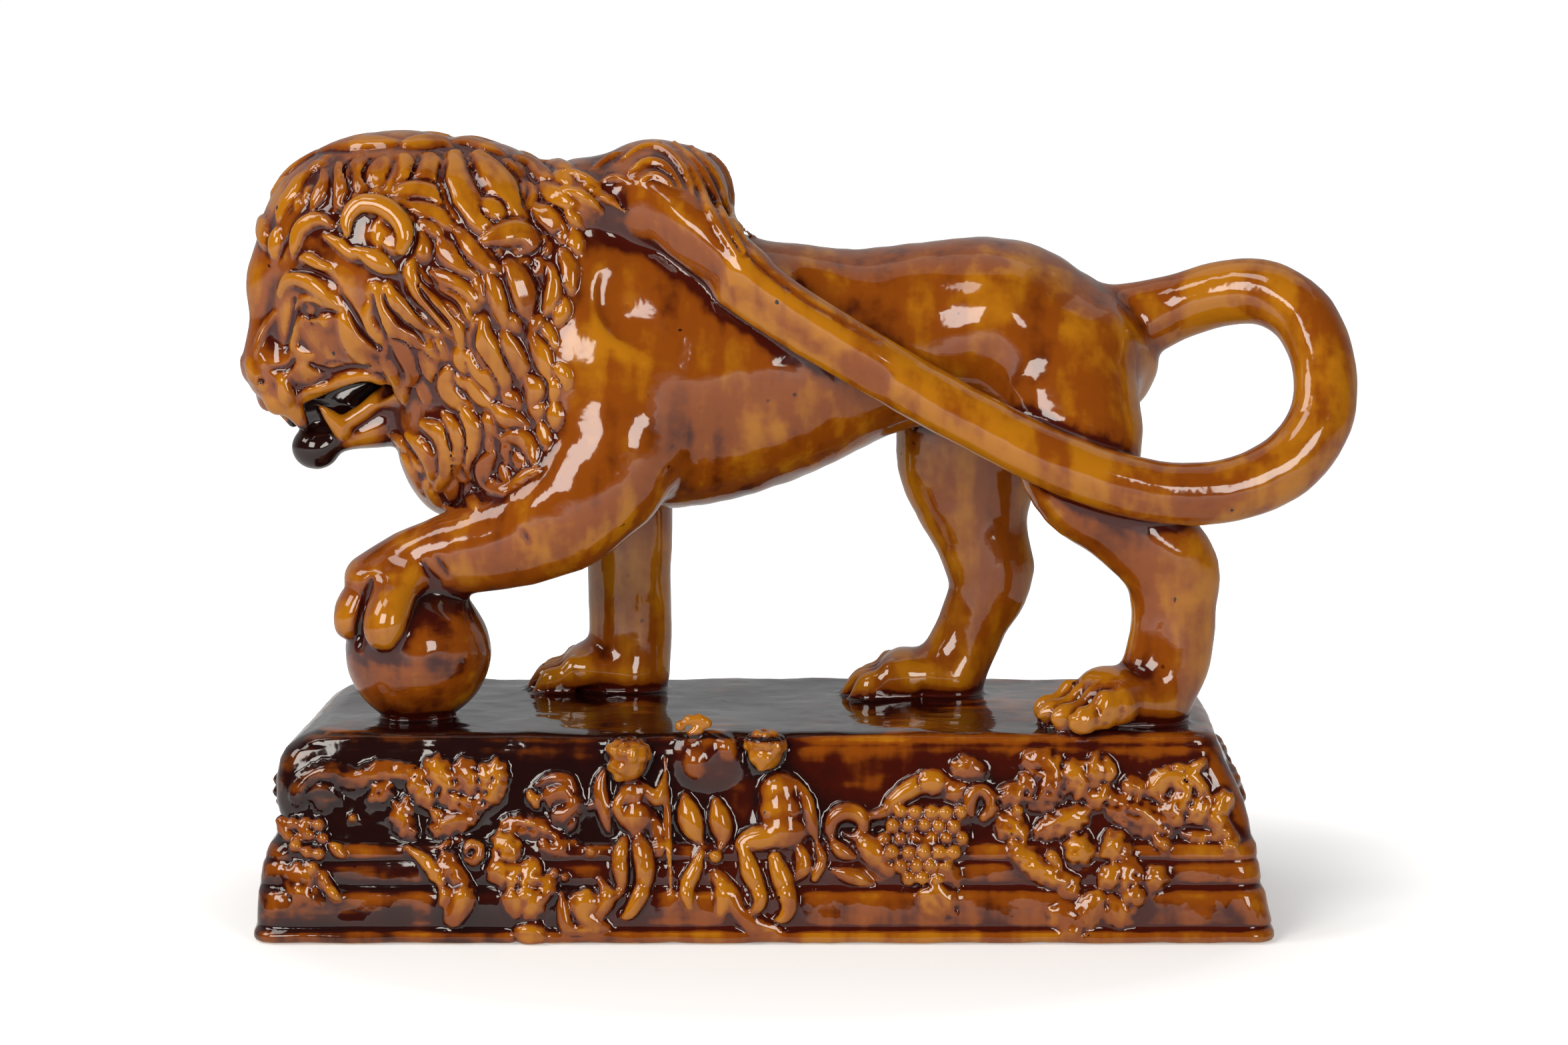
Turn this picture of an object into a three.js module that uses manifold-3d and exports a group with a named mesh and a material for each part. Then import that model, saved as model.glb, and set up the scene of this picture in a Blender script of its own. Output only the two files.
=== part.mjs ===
// A standing lion with one forepaw on a ball, press-moulded in earthenware and luted to its plinth,
// so that figure, ball and plinth are one fired piece. Millimetres, +Z up. The origin is the centre
// of the plinth's underside. The lion faces -X and its left side, with the raised paw, faces -Y.
import * as THREE from "three";
import { mergeVertices } from "three/addons/utils/BufferGeometryUtils.js";
import Module from "manifold-3d";

const wasm = await Module();
wasm.setup();

// Driving dimensions, in millimetres
const FIGURE_HEIGHT = 173; // plinth top to the crown of the mane
const BALL_RADIUS = 21.2;
const BALL_SINK = 1.2; // how deep the ball beds into the plinth's slip
const PLINTH_LENGTH = 298;
const PLINTH_DEPTH = 126;
const PLINTH_HEIGHT = 60;
const BACK_LEFT_SLUMP = 10; // how far the top's back left corner has slumped in
const CORNER_RADIUS = 7;
const RELIEF_RISE = 4; // how far the plinth's leaves stand off it
const GRAPE_RADIUS = 2.5; // also half the distance from grape to grape

// The figure's own frame: x and z from the centre of the plinth's top, in hundredths of its height
const share = FIGURE_HEIGHT / 100;
const figurePoint = ([x, y, z]) => new THREE.Vector3(x * share, y * share, PLINTH_HEIGHT + z * share);

const Y_AXIS = new THREE.Vector3(0, 1, 0);

// Closed skin over a list of rings that all have as many points, closed by a fan at each end
function loft(rings) {
  const sides = rings[0].length;
  const middle = (ring) => ring.reduce((sum, p) => sum.add(p), new THREE.Vector3()).divideScalar(sides);
  const points = [...rings.flat(), middle(rings[0]), middle(rings.at(-1))];
  const first = points.length - 2;
  const last = points.length - 1;
  const faces = [];
  for (let k = 0; k < sides; k += 1) {
    const next = (k + 1) % sides;
    faces.push(first, next, k);
    for (let r = 0; r + 1 < rings.length; r += 1) {
      const low = r * sides;
      const high = low + sides;
      faces.push(low + k, low + next, high + next, low + k, high + next, high + k);
    }
    faces.push(last, (rings.length - 1) * sides + k, (rings.length - 1) * sides + next);
  }
  return new THREE.BufferGeometry().setFromPoints(points).setIndex(faces);
}

// Limb of oval section through stations [centre, half-width, half-thickness]; the half-width lies
// along the across direction and the half-thickness square to it. Each of domeRings is one more ring
// on both ends, as a share of the end's girth; ridge puts a corner, not a flat, on the across side.
function limb(stations, { sides = 8, steps = 1, across = Y_AXIS, domeRings = [0.62], ridge = false } = {}) {
  const line = new THREE.CatmullRomCurve3(stations.map(([centre]) => centre));
  const girth = new THREE.CatmullRomCurve3(
    stations.map(([, wide, thick]) => new THREE.Vector3(wide, thick, 0)),
  );
  const count = Math.round((stations.length - 1) * steps);
  const ring = (t, slip, shrink) => {
    const along = line.getTangent(t);
    const wideAxis = across.clone().addScaledVector(along, -across.dot(along)).normalize();
    const thickAxis = new THREE.Vector3().crossVectors(along, wideAxis);
    const size = girth.getPoint(t);
    const centre = line.getPoint(t).addScaledVector(along, slip * Math.min(size.x, size.y));
    return Array.from({ length: sides }, (_, k) => {
      const turn = (2 * Math.PI * (k + (ridge ? 0 : 0.5))) / sides;
      return centre
        .clone()
        .addScaledVector(wideAxis, Math.cos(turn) * size.x * shrink)
        .addScaledVector(thickAxis, Math.sin(turn) * size.y * shrink);
    });
  };
  const slip = (shrink) => Math.sqrt(1 - shrink ** 2);
  const rings = domeRings.map((shrink) => ring(0, -slip(shrink), shrink));
  for (let i = 0; i <= count; i += 1) rings.push(ring(i / count, 0, 1));
  for (const shrink of [...domeRings].reverse()) rings.push(ring(1, slip(shrink), shrink));
  return loft(rings);
}

// A limb of the figure, from stations [x, y, z, half-width, half-thickness] in its own shares
function figureLimb(stations, options) {
  const placed = stations.map(([x, y, z, wide, thick = wide]) => [
    figurePoint([x, y, z]),
    wide * share,
    thick * share,
  ]);
  return limb(placed, options);
}

// A muscle or other rounded mass of the figure
function mass([x, y, z], [rx, ry, rz], sides = 8) {
  const geometry = new THREE.SphereGeometry(1, sides, Math.round(sides * 0.65));
  geometry.rotateX(Math.PI / 2).scale(rx * share, ry * share, rz * share);
  return geometry.translate(...figurePoint([x, y, z]).toArray());
}

function toSolid(geometry) {
  const bare = geometry.clone();
  bare.deleteAttribute("normal");
  bare.deleteAttribute("uv");
  const merged = mergeVertices(bare, 1e-4);
  const triVerts = new Uint32Array(merged.index.array);
  const vertProperties = merged.attributes.position.array;
  const solid = new wasm.Manifold(new wasm.Mesh({ numProp: 3, vertProperties, triVerts }));
  if (solid.volume() > 0) return solid;
  return new wasm.Manifold(new wasm.Mesh({ numProp: 3, vertProperties, triVerts: triVerts.reverse() }));
}

function toGeometry(solid) {
  const mesh = solid.getMesh();
  const geometry = new THREE.BufferGeometry();
  geometry.setAttribute("position", new THREE.BufferAttribute(new Float32Array(mesh.vertProperties), 3));
  geometry.setIndex(new THREE.BufferAttribute(new Uint32Array(mesh.triVerts), 1));
  geometry.computeVertexNormals();
  return geometry;
}

const join = (geometries) => geometries.map(toSolid).reduce((whole, piece) => whole.add(piece));

// Repeatable scatter from 0 to 1 for the n-th piece of a set
const scatter = (n) => {
  const wave = Math.sin(n * 12.9898) * 43758.5453;
  return wave - Math.floor(wave);
};

function trunk() {
  return [
    figureLimb([
      [-46, 0, 56, 15, 19],
      [-34, 0, 60.5, 19.5, 26],
      [-20, 0, 60, 20.5, 26],
      [-5, 0, 58.6, 19, 22.6],
      [7, 0, 60.4, 17, 19.4],
      [18, 0, 62.6, 15.5, 16.8],
      [30, 0, 65.3, 16, 15.8],
      [41, 0, 66.7, 17, 15.3],
      [51, 0, 62.6, 15, 13.8],
      [58.5, 0, 60, 9, 10.6],
    ], { sides: 12, domeRings: [] }),
  ];
}

// Four toes fanned across a paw, which points along heading (degrees from -X towards the viewer)
function toes([x, y, z], heading, { spread = 4.2, length = 8, thick = 2.8 } = {}) {
  const turn = THREE.MathUtils.degToRad(heading);
  const forward = [-Math.cos(turn), -Math.sin(turn)];
  const sideways = [Math.sin(turn), -Math.cos(turn)];
  const across = new THREE.Vector3(sideways[0], sideways[1], 0);
  return [-1.5, -0.5, 0.5, 1.5].map((place) => {
    const reach = length - Math.abs(place) * 1.5;
    const aside = place * spread;
    const at = (along, up, wide, high) => [
      x + forward[0] * along + sideways[0] * aside,
      y + forward[1] * along + sideways[1] * aside,
      z + up,
      wide,
      high,
    ];
    const bones = [
      at(-reach * 0.5, 1.4, spread * 0.4, thick * 0.8),
      at(reach * 0.25, 1.3, spread * 0.49, thick),
      at(reach * 0.8, -0.9, spread * 0.36, thick * 0.6),
    ];
    return figureLimb(bones, { sides: 5, across, domeRings: [], ridge: true });
  });
}

function nearHindLeg() {
  return [
    figureLimb([
      [50, -9, 61.6, 9, 13.4],
      [52.6, -13.5, 51, 9.5, 11.6],
      [54, -16.5, 42, 7.8, 9.8],
      [61, -17, 34.6, 6.2, 7.2],
      [69, -17, 27.6, 5.8, 8.2],
      [70, -16.5, 20, 5.6, 7.4],
      [69.2, -16.5, 12, 5.8, 7.5],
      [66.6, -17, 4, 6.4, 6.8],
    ], { sides: 9, domeRings: [] }),
    figureLimb([[66, -17, 3.2, 6.6, 3.6], [59, -20, 4.4, 8.2, 4.4]], {
      across: new THREE.Vector3(0.42, -0.9, 0),
    }),
    ...toes([54.8, -22.4, 2.4], 24, { length: 9 }),
  ];
}

function farHindLeg() {
  return [
    figureLimb([
      [46, 11, 60, 9, 13],
      [36.6, 13, 46, 8.5, 13.2],
      [36.2, 13, 37, 7.2, 11.6],
      [38.6, 12.5, 28, 6, 8.6],
      [40, 12, 20, 5.6, 8],
      [36.6, 12, 12.5, 5.4, 6.3],
      [32.5, 12, 4, 6, 6.4],
    ], { sides: 9, domeRings: [] }),
    figureLimb([[33, 12, 3.2, 6, 3.6], [25, 12, 3.8, 7.4, 3.8]], { sides: 7 }),
    ...toes([22, 12, 1.7], 0, { spread: 3.6 }),
  ];
}

function farForeleg() {
  return [
    figureLimb([
      [-25, 13, 50, 9, 11],
      [-24, 16, 38, 7.4, 8],
      [-23.6, 16.5, 24, 6.6, 7.3],
      [-23.6, 16.5, 12, 6.4, 7.1],
      [-24, 16.5, 3.6, 6.8, 7],
    ], { sides: 9, domeRings: [] }),
    figureLimb([[-24, 16.5, 3.2, 6.6, 3.6], [-31, 16.5, 3.8, 7.6, 3.8]], { sides: 7 }),
    ...toes([-34, 16.5, 2.2], 0, { spread: 3.6 }),
  ];
}

// The ball's centre in the figure's shares; the raised paw takes its place from it
const ball = {
  x: -59.4,
  y: -11.8,
  z: (BALL_RADIUS - BALL_SINK) / share,
  radius: BALL_RADIUS / share,
};

function ballUnderPaw() {
  const sphere = new THREE.SphereGeometry(BALL_RADIUS, 14, 9).rotateX(Math.PI / 2);
  return [sphere.translate(...figurePoint([ball.x, ball.y, ball.z]).toArray())];
}

function raisedForeleg() {
  const top = ball.z + ball.radius;
  const middle = ball.y - 0.8;
  const arm = [
    [-26, -9, 60, 10, 14],
    [-26, -13.5, 47, 9.4, 12.6],
    [-32, -16, 38, 8, 10.8],
    [-42, -15.5, 31.8, 6.8, 9.2],
    [-52, -14, 28.8, 6.2, 8],
    [ball.x - 1.6, middle, top + 3.3, 6.4, 5.4],
    [ball.x - 8.4, middle, top + 0.4, 7.2, 4.4],
  ];
  const toe = (place) => {
    const aside = middle + place * 3.9;
    const back = Math.abs(place) * 0.9;
    const bones = [
      [ball.x - 7.6 + back, aside, top + 0.6, 1.7, 3.2],
      [ball.x - 12.2 + back, aside, top - 3.4, 1.9, 3.6],
      [ball.x - 12 + back, aside, top - 10, 1.5, 2.2],
    ];
    return figureLimb(bones, { sides: 5, domeRings: [], ridge: true });
  };
  return [figureLimb(arm, { sides: 9 }), ...[-1.5, -0.5, 0.5, 1.5].map(toe)];
}

// The tail leaves the rump, loops out behind, crosses the left flank and lies over the withers
const tailLine = [
  [57, 0, 64.5, 8.5],
  [64, 0, 67, 6.8],
  [71, -1, 69.6, 5.6],
  [79, -4, 72.3, 5.6],
  [86, -7, 72.5, 5.6],
  [92.4, -11, 68.6, 5.6],
  [95.5, -15, 60.4, 5.6],
  [94.3, -18.5, 51.7, 5.7],
  [88.2, -21, 44.6, 5.6],
  [79, -23, 40.8, 5.4],
  [69, -24, 40.2, 5.3],
  [59, -24.5, 42.2, 5.2],
  [48, -24, 46.2, 5.1],
  [37, -22.5, 51.6, 5],
  [26, -21, 57.4, 5],
  [14, -20.5, 64.4, 5.1],
  [1, -19.5, 73, 5.5],
];

function tail() {
  const stations = tailLine.map(([x, y, z, r]) => [x, y, z, r * 0.86, r]);
  return [figureLimb(stations, { sides: 7, steps: 1.25, domeRings: [] })];
}

// The tail's tuft: strands that part over the shoulder and curl over the spine
function tuft() {
  const strands = [
    [[4, -19.5, 71, 4, 4.2], [-8, -18.5, 80, 4.2, 5], [-20, -14.5, 89, 4, 5], [-32, -8, 92.4, 3, 4]],
    [[0, -18.5, 75, 4, 4], [-10, -15, 86, 4.2, 5], [-18.4, -8, 93.6, 4, 5], [-28, -3, 94.4, 3, 3.8]],
    [[-5, -16, 78, 4, 4], [-11.4, -10, 88, 4.4, 4.6], [-16.5, -3, 94.6, 4.2, 4.4], [-26, 2, 94.2, 3, 3.4]],
    [[-8, -12, 80, 4, 4], [-12.4, -2, 87.4, 4.6, 4.6], [-17, 6, 91, 4.4, 4.6], [-25, 10, 88.5, 3, 3.2]],
  ];
  return [
    mass([-19.4, -2.4, 86], [11.8, 12, 10.8]),
    ...strands.map((strand) => figureLimb(strand, { sides: 6, domeRings: [] })),
  ];
}

// The head is turned a little to the viewer: [forward, left, up] from its centre
const headTurn = THREE.MathUtils.degToRad(20);
const headCentre = [-70, 0, 68];
function onHead([forward, left, up]) {
  return [
    headCentre[0] - Math.cos(headTurn) * forward + Math.sin(headTurn) * left,
    headCentre[1] - Math.sin(headTurn) * forward - Math.cos(headTurn) * left,
    headCentre[2] + up,
  ];
}
const headAcross = new THREE.Vector3(Math.sin(headTurn), -Math.cos(headTurn), 0);
function headLimb(stations, options = {}) {
  const placed = stations.map(([f, l, u, wide, thick]) => [...onHead([f, l, u]), wide, thick]);
  return figureLimb(placed, { across: headAcross, ...options });
}
const bothSides = (build) => [build(1), build(-1)];

function skullAndFace() {
  const bridge = [
    [13.2, 0, 12, 6.5, 4.4],
    [15.8, 0, 5, 4, 3.6],
    [16.6, 0, -2, 3.6, 3],
    [17.2, 0, -6.8, 4.6, 2.8],
  ];
  const brow = (side) => [
    [4, side * 9.5, 6.4, 3, 2.6],
    [13, side * 6.6, 8.4, 2.8, 2.6],
    [16.6, side * 3, 6.8, 2.2, 2.2],
  ];
  return [
    mass(onHead([-1, 0, 1]), [14, 13, 15]),
    mass(onHead([8, 0, 1]), [8.8, 9.2, 13]),
    headLimb(bridge),
    headLimb([[4, 0, -6, 10, 7.4], [11, 0, -8.4, 8.4, 6], [16.4, 0, -10.8, 5.6, 4.2]]),
    ...bothSides((side) => headLimb(brow(side), { sides: 6 })),
  ];
}

function lowerJaw() {
  return [
    headLimb([
      [-11, 0, -15.6, 10.5, 6.4],
      [-3, 0, -17.6, 9, 5.6],
      [3, 0, -20.8, 6.8, 3.8],
      [7.4, 0, -22.4, 4, 3.6],
    ]),
    mass(onHead([7.8, 0, -23.2]), [3.4, 3.8, 3], 6),
  ];
}

function teeth() {
  const fangs = bothSides((side) => [
    [[12.4, side * 4.4, -13.4, 1.4, 1.4], [11, side * 4.4, -19, 0.5, 0.5]],
    [[5.4, side * 5, -19.6, 1.5, 1.5], [8.2, side * 4.8, -15.2, 0.4, 0.4]],
  ]).flat();
  return fangs.map((stations) => headLimb(stations, { sides: 5, domeRings: [] }));
}

function mouthHollow() {
  const stations = [
    [-2.4, 0, -10.8, 13, 1.2],
    [3, 0, -13, 11, 3.2],
    [10, 0, -16, 8.4, 3.2],
    [20, 0, -17, 7, 2.6],
  ];
  return headLimb(stations, { domeRings: [] });
}

function tongue() {
  return [headLimb([[-9, 0, -13, 8, 5], [-2, 0, -14.5, 6.4, 5], [5, 0, -17.5, 4.6, 3.4]], { domeRings: [] })];
}

function eyes() {
  return bothSides((side) => mass(onHead([13, side * 6.4, 3]), [2.2, 2.3, 2], 5));
}

function ears() {
  return bothSides((side) => {
    const rim = Array.from({ length: 7 }, (_, k) => {
      const turn = THREE.MathUtils.degToRad(215 - k * 50);
      const out = 4.4 - k * 0.12;
      return [-65 + Math.cos(turn) * out, side * -19, 84.5 + Math.sin(turn) * out, 2.6, 1.7];
    });
    return figureLimb(rim, { sides: 5, domeRings: [] });
  });
}

// The mane is one sleeve round head and neck. Each station gives the ring's top [x, z], its middle
// [x, half-width, z] and its bottom [x, z], from the face's edge back to the shoulder.
const maneStations = [
  { top: [-85.4, 83.6], middle: [-70, 13.5, 68], bottom: [-65, 47] },
  { top: [-81.6, 93], middle: [-66, 18, 68], bottom: [-61, 43] },
  { top: [-73, 98], middle: [-59, 20, 67], bottom: [-57.2, 37.4] },
  { top: [-58, 98.6], middle: [-51, 20.8, 64], bottom: [-54, 33.6] },
  { top: [-44, 95.2], middle: [-43, 20.4, 61], bottom: [-48, 33] },
  { top: [-30, 90.2], middle: [-34, 19.5, 59], bottom: [-42, 34] },
];
const MANE_ROWS = 4; // rows of locks from the face to the shoulder
const LOCKS_ROUND = 12; // locks in each row
const LOCK_LIFT = 2.6; // how far a lock stands off the sleeve, in the figure's shares

function mane() {
  const spline = (read) =>
    new THREE.CatmullRomCurve3(maneStations.map((station) => new THREE.Vector3(...read(station))));
  const tops = spline(({ top: [x, z] }) => [x, 0, z]);
  const middles = spline(({ middle: [x, , z] }) => [x, 0, z]);
  const bottoms = spline(({ bottom: [x, z] }) => [x, 0, z]);
  const widths = spline(({ middle: [, wide] }) => [wide, 0, 0]);
  const ringsPerRow = 3;
  const ringCount = MANE_ROWS * ringsPerRow;
  const columns = LOCKS_ROUND * 2;
  const rings = Array.from({ length: ringCount + 1 }, (_, r) => {
    const t = r / ringCount;
    const middle = middles.getPoint(t);
    const up = tops.getPoint(t).sub(middle);
    const down = bottoms.getPoint(t).sub(middle);
    const wide = widths.getPoint(t).x;
    const row = Math.floor(r / ringsPerRow);
    const step = r % ringsPerRow;
    return Array.from({ length: columns }, (_, c) => {
      const turn = ((c + 0.35 * step) / columns) * 2 * Math.PI;
      const rise = Math.cos(turn) > 0 ? up : down;
      const offset = rise.clone().multiplyScalar(Math.abs(Math.cos(turn)));
      offset.y = -Math.sin(turn) * wide;
      const onRidge = (c + row) % 2 === 0 && step > 0;
      const edge = r === 0 || r === ringCount;
      const lift = edge ? -1.5 : onRidge ? LOCK_LIFT * (0.75 + 0.5 * scatter(row * 37 + c)) : -0.7;
      const point = middle.clone().add(offset).addScaledVector(offset.clone().normalize(), lift);
      return figurePoint(point.toArray());
    });
  });
  return [loft(rings)];
}

// Locks that lie free of the sleeve: the forehead's, the cheeks' and the throat's
function looseLocks() {
  const cheeks = bothSides((side) => {
    const front = [[-67, 16, 77, 2.2], [-63, 20, 71, 2.6], [-59, 21, 62, 2.2], [-57, 18, 53, 1]];
    const rear = [[-60, 20, 77, 2.2], [-56, 23, 70, 2.8], [-53, 23, 60, 2.4], [-53, 20, 50, 1]];
    const throat = [[-62, 14, 54, 2], [-59, 17, 49, 2.6], [-56, 16, 42, 2.2], [-57, 13, 36, 1]];
    const toSide = ([x, y, z, thick]) => [x, -side * y, z, thick];
    return [front, rear, throat].map((lock) => lock.map(toSide));
  }).flat();
  const forehead = [6, -2, -10].map((y, n) => [
    [-78, y * 0.9, 91 - n, 2.2],
    [-83.5, y - 1, 87 - n, 3],
    [-86.4, y - 1, 81.5 - n, 1],
  ]);
  const section = { sides: 4, domeRings: [], ridge: true };
  return [...cheeks, ...forehead].map((stations) => figureLimb(stations, section));
}

// The plinth's profile and reliefs are drawn in shares of its own length, depth, height and relief
const PLINTH_SHARES = { along: 298, across: 126, up: 60, out: 4 };
const alongShare = PLINTH_LENGTH / PLINTH_SHARES.along;
const acrossShare = PLINTH_DEPTH / PLINTH_SHARES.across;
const upShare = PLINTH_HEIGHT / PLINTH_SHARES.up;
const outShare = RELIEF_RISE / PLINTH_SHARES.out;

// Levels of the plinth: height in shares, then how far in millimetres the front and back, the left
// end and the right end stand in from the foot. Ledges part the foot, two bands, the relief's field
// and the top fillet; the left end's top edge is slumped round.
const plinthLevels = [
  [0, 0.6, 0.6, 0.6],
  [0.9, 0, 0, 0],
  [3.8, 0.6, 0.3, 0.3],
  [4.6, 2.4, 1.2, 1.8],
  [15, 3.2, 1, 3.4],
  [16, 5, 2, 5],
  [28, 6.4, 4.8, 5.6],
  [29, 8, 8, 7.4],
  [48, 10.8, 8.4, 12.6],
  [56, 12.2, 10.4, 15.4],
  [59, 12.8, 12.6, 16.2],
  [60, 14.6, 15.6, 18],
];

// How far the left end's back corner has slumped in at a height in the drawing
const slumpAt = (height) => BACK_LEFT_SLUMP * (height / PLINTH_SHARES.up) ** 2;

function plinth() {
  const rings = plinthLevels.map(([height, faceInset, leftInset, rightInset]) => {
    const side = PLINTH_DEPTH / 2 - faceInset - CORNER_RADIUS;
    const left = PLINTH_LENGTH / 2 - leftInset - CORNER_RADIUS;
    const right = PLINTH_LENGTH / 2 - rightInset - CORNER_RADIUS;
    const corners = [[right, side], [slumpAt(height) - left, side], [-left, -side], [right, -side]];
    return corners.flatMap(([x, y], corner) =>
      [corner, corner + 1].map((quarter) => {
        const turn = (Math.PI / 2) * quarter;
        const edge = [x + Math.cos(turn) * CORNER_RADIUS, y + Math.sin(turn) * CORNER_RADIUS];
        return new THREE.Vector3(...edge, height * upShare);
      }),
    );
  });
  return [loft(rings)];
}

// One face of the plinth as a sheet: [along to the viewer's right, height, rise off the face], in
// shares. The column is the face's own in plinthLevels.
const lengthwise = { half: PLINTH_DEPTH / 2, column: 1, runShare: alongShare };
const endwise = { half: PLINTH_LENGTH / 2, runShare: acrossShare };
const faces = {
  front: { ...lengthwise, place: (out, run, z) => [run, -out, z] },
  back: { ...lengthwise, place: (out, run, z) => [-run, out, z] },
  left: { ...endwise, column: 2, place: (out, run, z) => [-out, -run, z] },
  right: { ...endwise, column: 3, place: (out, run, z) => [out, run, z] },
};
function insetAt(height, column) {
  const level = plinthLevels.findIndex(([z]) => z > height);
  const [low, high] = [plinthLevels[level - 1], plinthLevels[level]];
  return THREE.MathUtils.mapLinear(height, low[0], high[0], low[column], high[column]);
}
function onFace(face, [along, height, rise]) {
  const { half, column, runShare, place } = faces[face];
  const slump = face === "left" ? slumpAt(height) * (0.5 - along / PLINTH_SHARES.across) : 0;
  const out = half - insetAt(height, column) - slump + rise * outShare;
  return new THREE.Vector3(...place(out, along * runShare, height * upShare));
}

// A raised stroke on a face from stations [along, height, rise, half-width, half-thickness]
function stroke(face, stations) {
  const placed = stations.map(([along, height, rise, wide, thick = 1.8]) => [
    onFace(face, [along, height, rise]),
    thick * outShare,
    wide * upShare,
  ]);
  const across = onFace(face, [0, 30, 1]).sub(onFace(face, [0, 30, 0])).normalize();
  return limb(placed, { sides: 4, across, domeRings: [], ridge: true });
}

// A leaf or lobe that swells between its stalk and its tip
function leaf(face, from, to, wide, rise = 2) {
  const middle = [(from[0] + to[0]) / 2, (from[1] + to[1]) / 2];
  const tip = [...to, rise * 0.4, wide * 0.25];
  return stroke(face, [[...from, rise * 0.4, wide * 0.5], [...middle, rise, wide], tip]);
}

// Each row of grapes is one beaded stroke, pinched in to the face between grape and grape
function bunchOfGrapes(face, along, height, rows) {
  const rowDrop = 1.85 * GRAPE_RADIUS;
  return rows.map((count, row) => {
    const start = along - (count - 1) * GRAPE_RADIUS + row * 0.9;
    const stations = Array.from({ length: count * 2 - 1 }, (_, n) => {
      const swell = 1 + 0.8 * Math.sin((Math.PI * (n + 1)) / (count * 2));
      const pinched = n % 2 === 1;
      return [
        start + n * GRAPE_RADIUS,
        height - row * rowDrop,
        pinched ? 0 : swell,
        GRAPE_RADIUS * (pinched ? 0.4 : 1),
        GRAPE_RADIUS * (pinched ? 0.3 : 1),
      ];
    });
    return stroke(face, stations);
  });
}

function ring(face, along, height, radius) {
  const stations = Array.from({ length: 6 }, (_, k) => {
    const turn = (k * 2 * Math.PI) / 5.2;
    return [along + Math.cos(turn) * radius, height + Math.sin(turn) * radius, 1.4, 1.3, 1.6];
  });
  return stroke(face, stations);
}

// The vine motif that is pressed on either side of the front, from its middle
function vineSpray(face, along) {
  const at = (a, h) => [along + a, h];
  const ribbon = [
    [...at(-25, 41), 1.4, 1.8],
    [...at(-19, 29), 1.8, 1.6],
    [...at(-11, 16), 1.8, 1.8],
    [...at(-12.5, 4), 1.2, 2],
  ];
  return [
    leaf(face, at(-12, 39), at(-16, 54), 3),
    leaf(face, at(-6, 39), at(-7, 55), 3),
    leaf(face, at(0, 40), at(2, 55), 2.8),
    leaf(face, at(-15, 33), at(1, 37), 2.8),
    stroke(face, [[...at(3, 31), 0.8, 1.2], [...at(13, 37), 2.2, 3], [...at(24, 28), 0.8, 0.8]]),
    leaf(face, at(11, 27), at(9, 8), 2.6),
    leaf(face, at(13, 26), at(19, 12), 2.4),
    ring(face, along + 22.5, 43, 4.4),
    stroke(face, ribbon),
  ];
}

// A child on the plinth: head, trunk, two legs and an arm, leaning along the face
function putto(face, along, { side = 1, headHeight = 55, lean = 0, armUp = false } = {}) {
  const hip = 26;
  const at = (a, h, ...rest) => [along + side * a + (lean * (h - hip)) / (headHeight - hip), h, ...rest];
  const head = new THREE.SphereGeometry(6 * upShare, 6, 5);
  head.translate(...onFace(face, [along + lean, headHeight, 1]).toArray());
  const arm = armUp
    ? [at(5, 42, 1.6, 1.8, 2), at(10, 47, 2, 1.7, 2), at(9, 55, 1.6, 1.5, 2)]
    : [at(5.5, 44, 1.6, 1.9, 2.2), at(10, 34, 2, 1.8, 2), at(10.5, 20, 1.4, 1.6, 1.8)];
  const torso = [at(0, 50, 1, 3, 3.4), at(0, 40, 1.6, 6, 3.8), at(-2, 27, 2, 7, 4.4), at(-2, 23, 1, 4, 2.4)];
  return [
    head,
    stroke(face, torso),
    stroke(face, [at(-5, hip, 1.6, 4, 3.6), at(-5.6, 15, 1.6, 2.8, 3), at(-6.5, 4, 1, 3, 2.4)]),
    stroke(face, [at(2, hip, 1.6, 4, 3.6), at(3, 15, 1.6, 2.8, 3), at(2, 4, 1, 3, 2.4)]),
    stroke(face, arm),
  ];
}

function frontRelief() {
  return [
    ...putto("front", -40, { headHeight: 54 }),
    ...putto("front", -18, { side: -1, headHeight: 57, armUp: true }),
    ...putto("front", 2, { headHeight: 56, lean: -1 }),
    ...vineSpray("front", -82),
    ...vineSpray("front", 96),
    ...bunchOfGrapes("front", 46, 39, [5, 4, 3, 2]),
    leaf("front", [28, 34], [38, 38], 2.2),
    ring("front", 24, 35, 4),
    stroke("front", [[36, 41, 1.4, 1.6], [44, 47, 1.8, 2], [53, 48, 1.6, 2.2], [61, 51, 1.2, 2.4]]),
  ];
}

function backRelief() {
  return [-60, 60].flatMap((along) => [
    leaf("back", [along - 6, 36], [along - 22, 42], 4),
    leaf("back", [along + 6, 36], [along + 22, 42], 4),
    leaf("back", [along, 40], [along, 18], 4.4),
  ]);
}

function leftEndRelief() {
  return [
    ...bunchOfGrapes("left", 34, 45, [2, 3]),
    leaf("left", [20, 36], [6, 46], 4),
    leaf("left", [-14, 42], [-34, 36], 4),
  ];
}

function rightEndRelief() {
  return [
    leaf("right", [-38, 30], [-22, 38], 4, 0.8),
    leaf("right", [14, 38], [34, 32], 4, 0.8),
  ];
}

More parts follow.
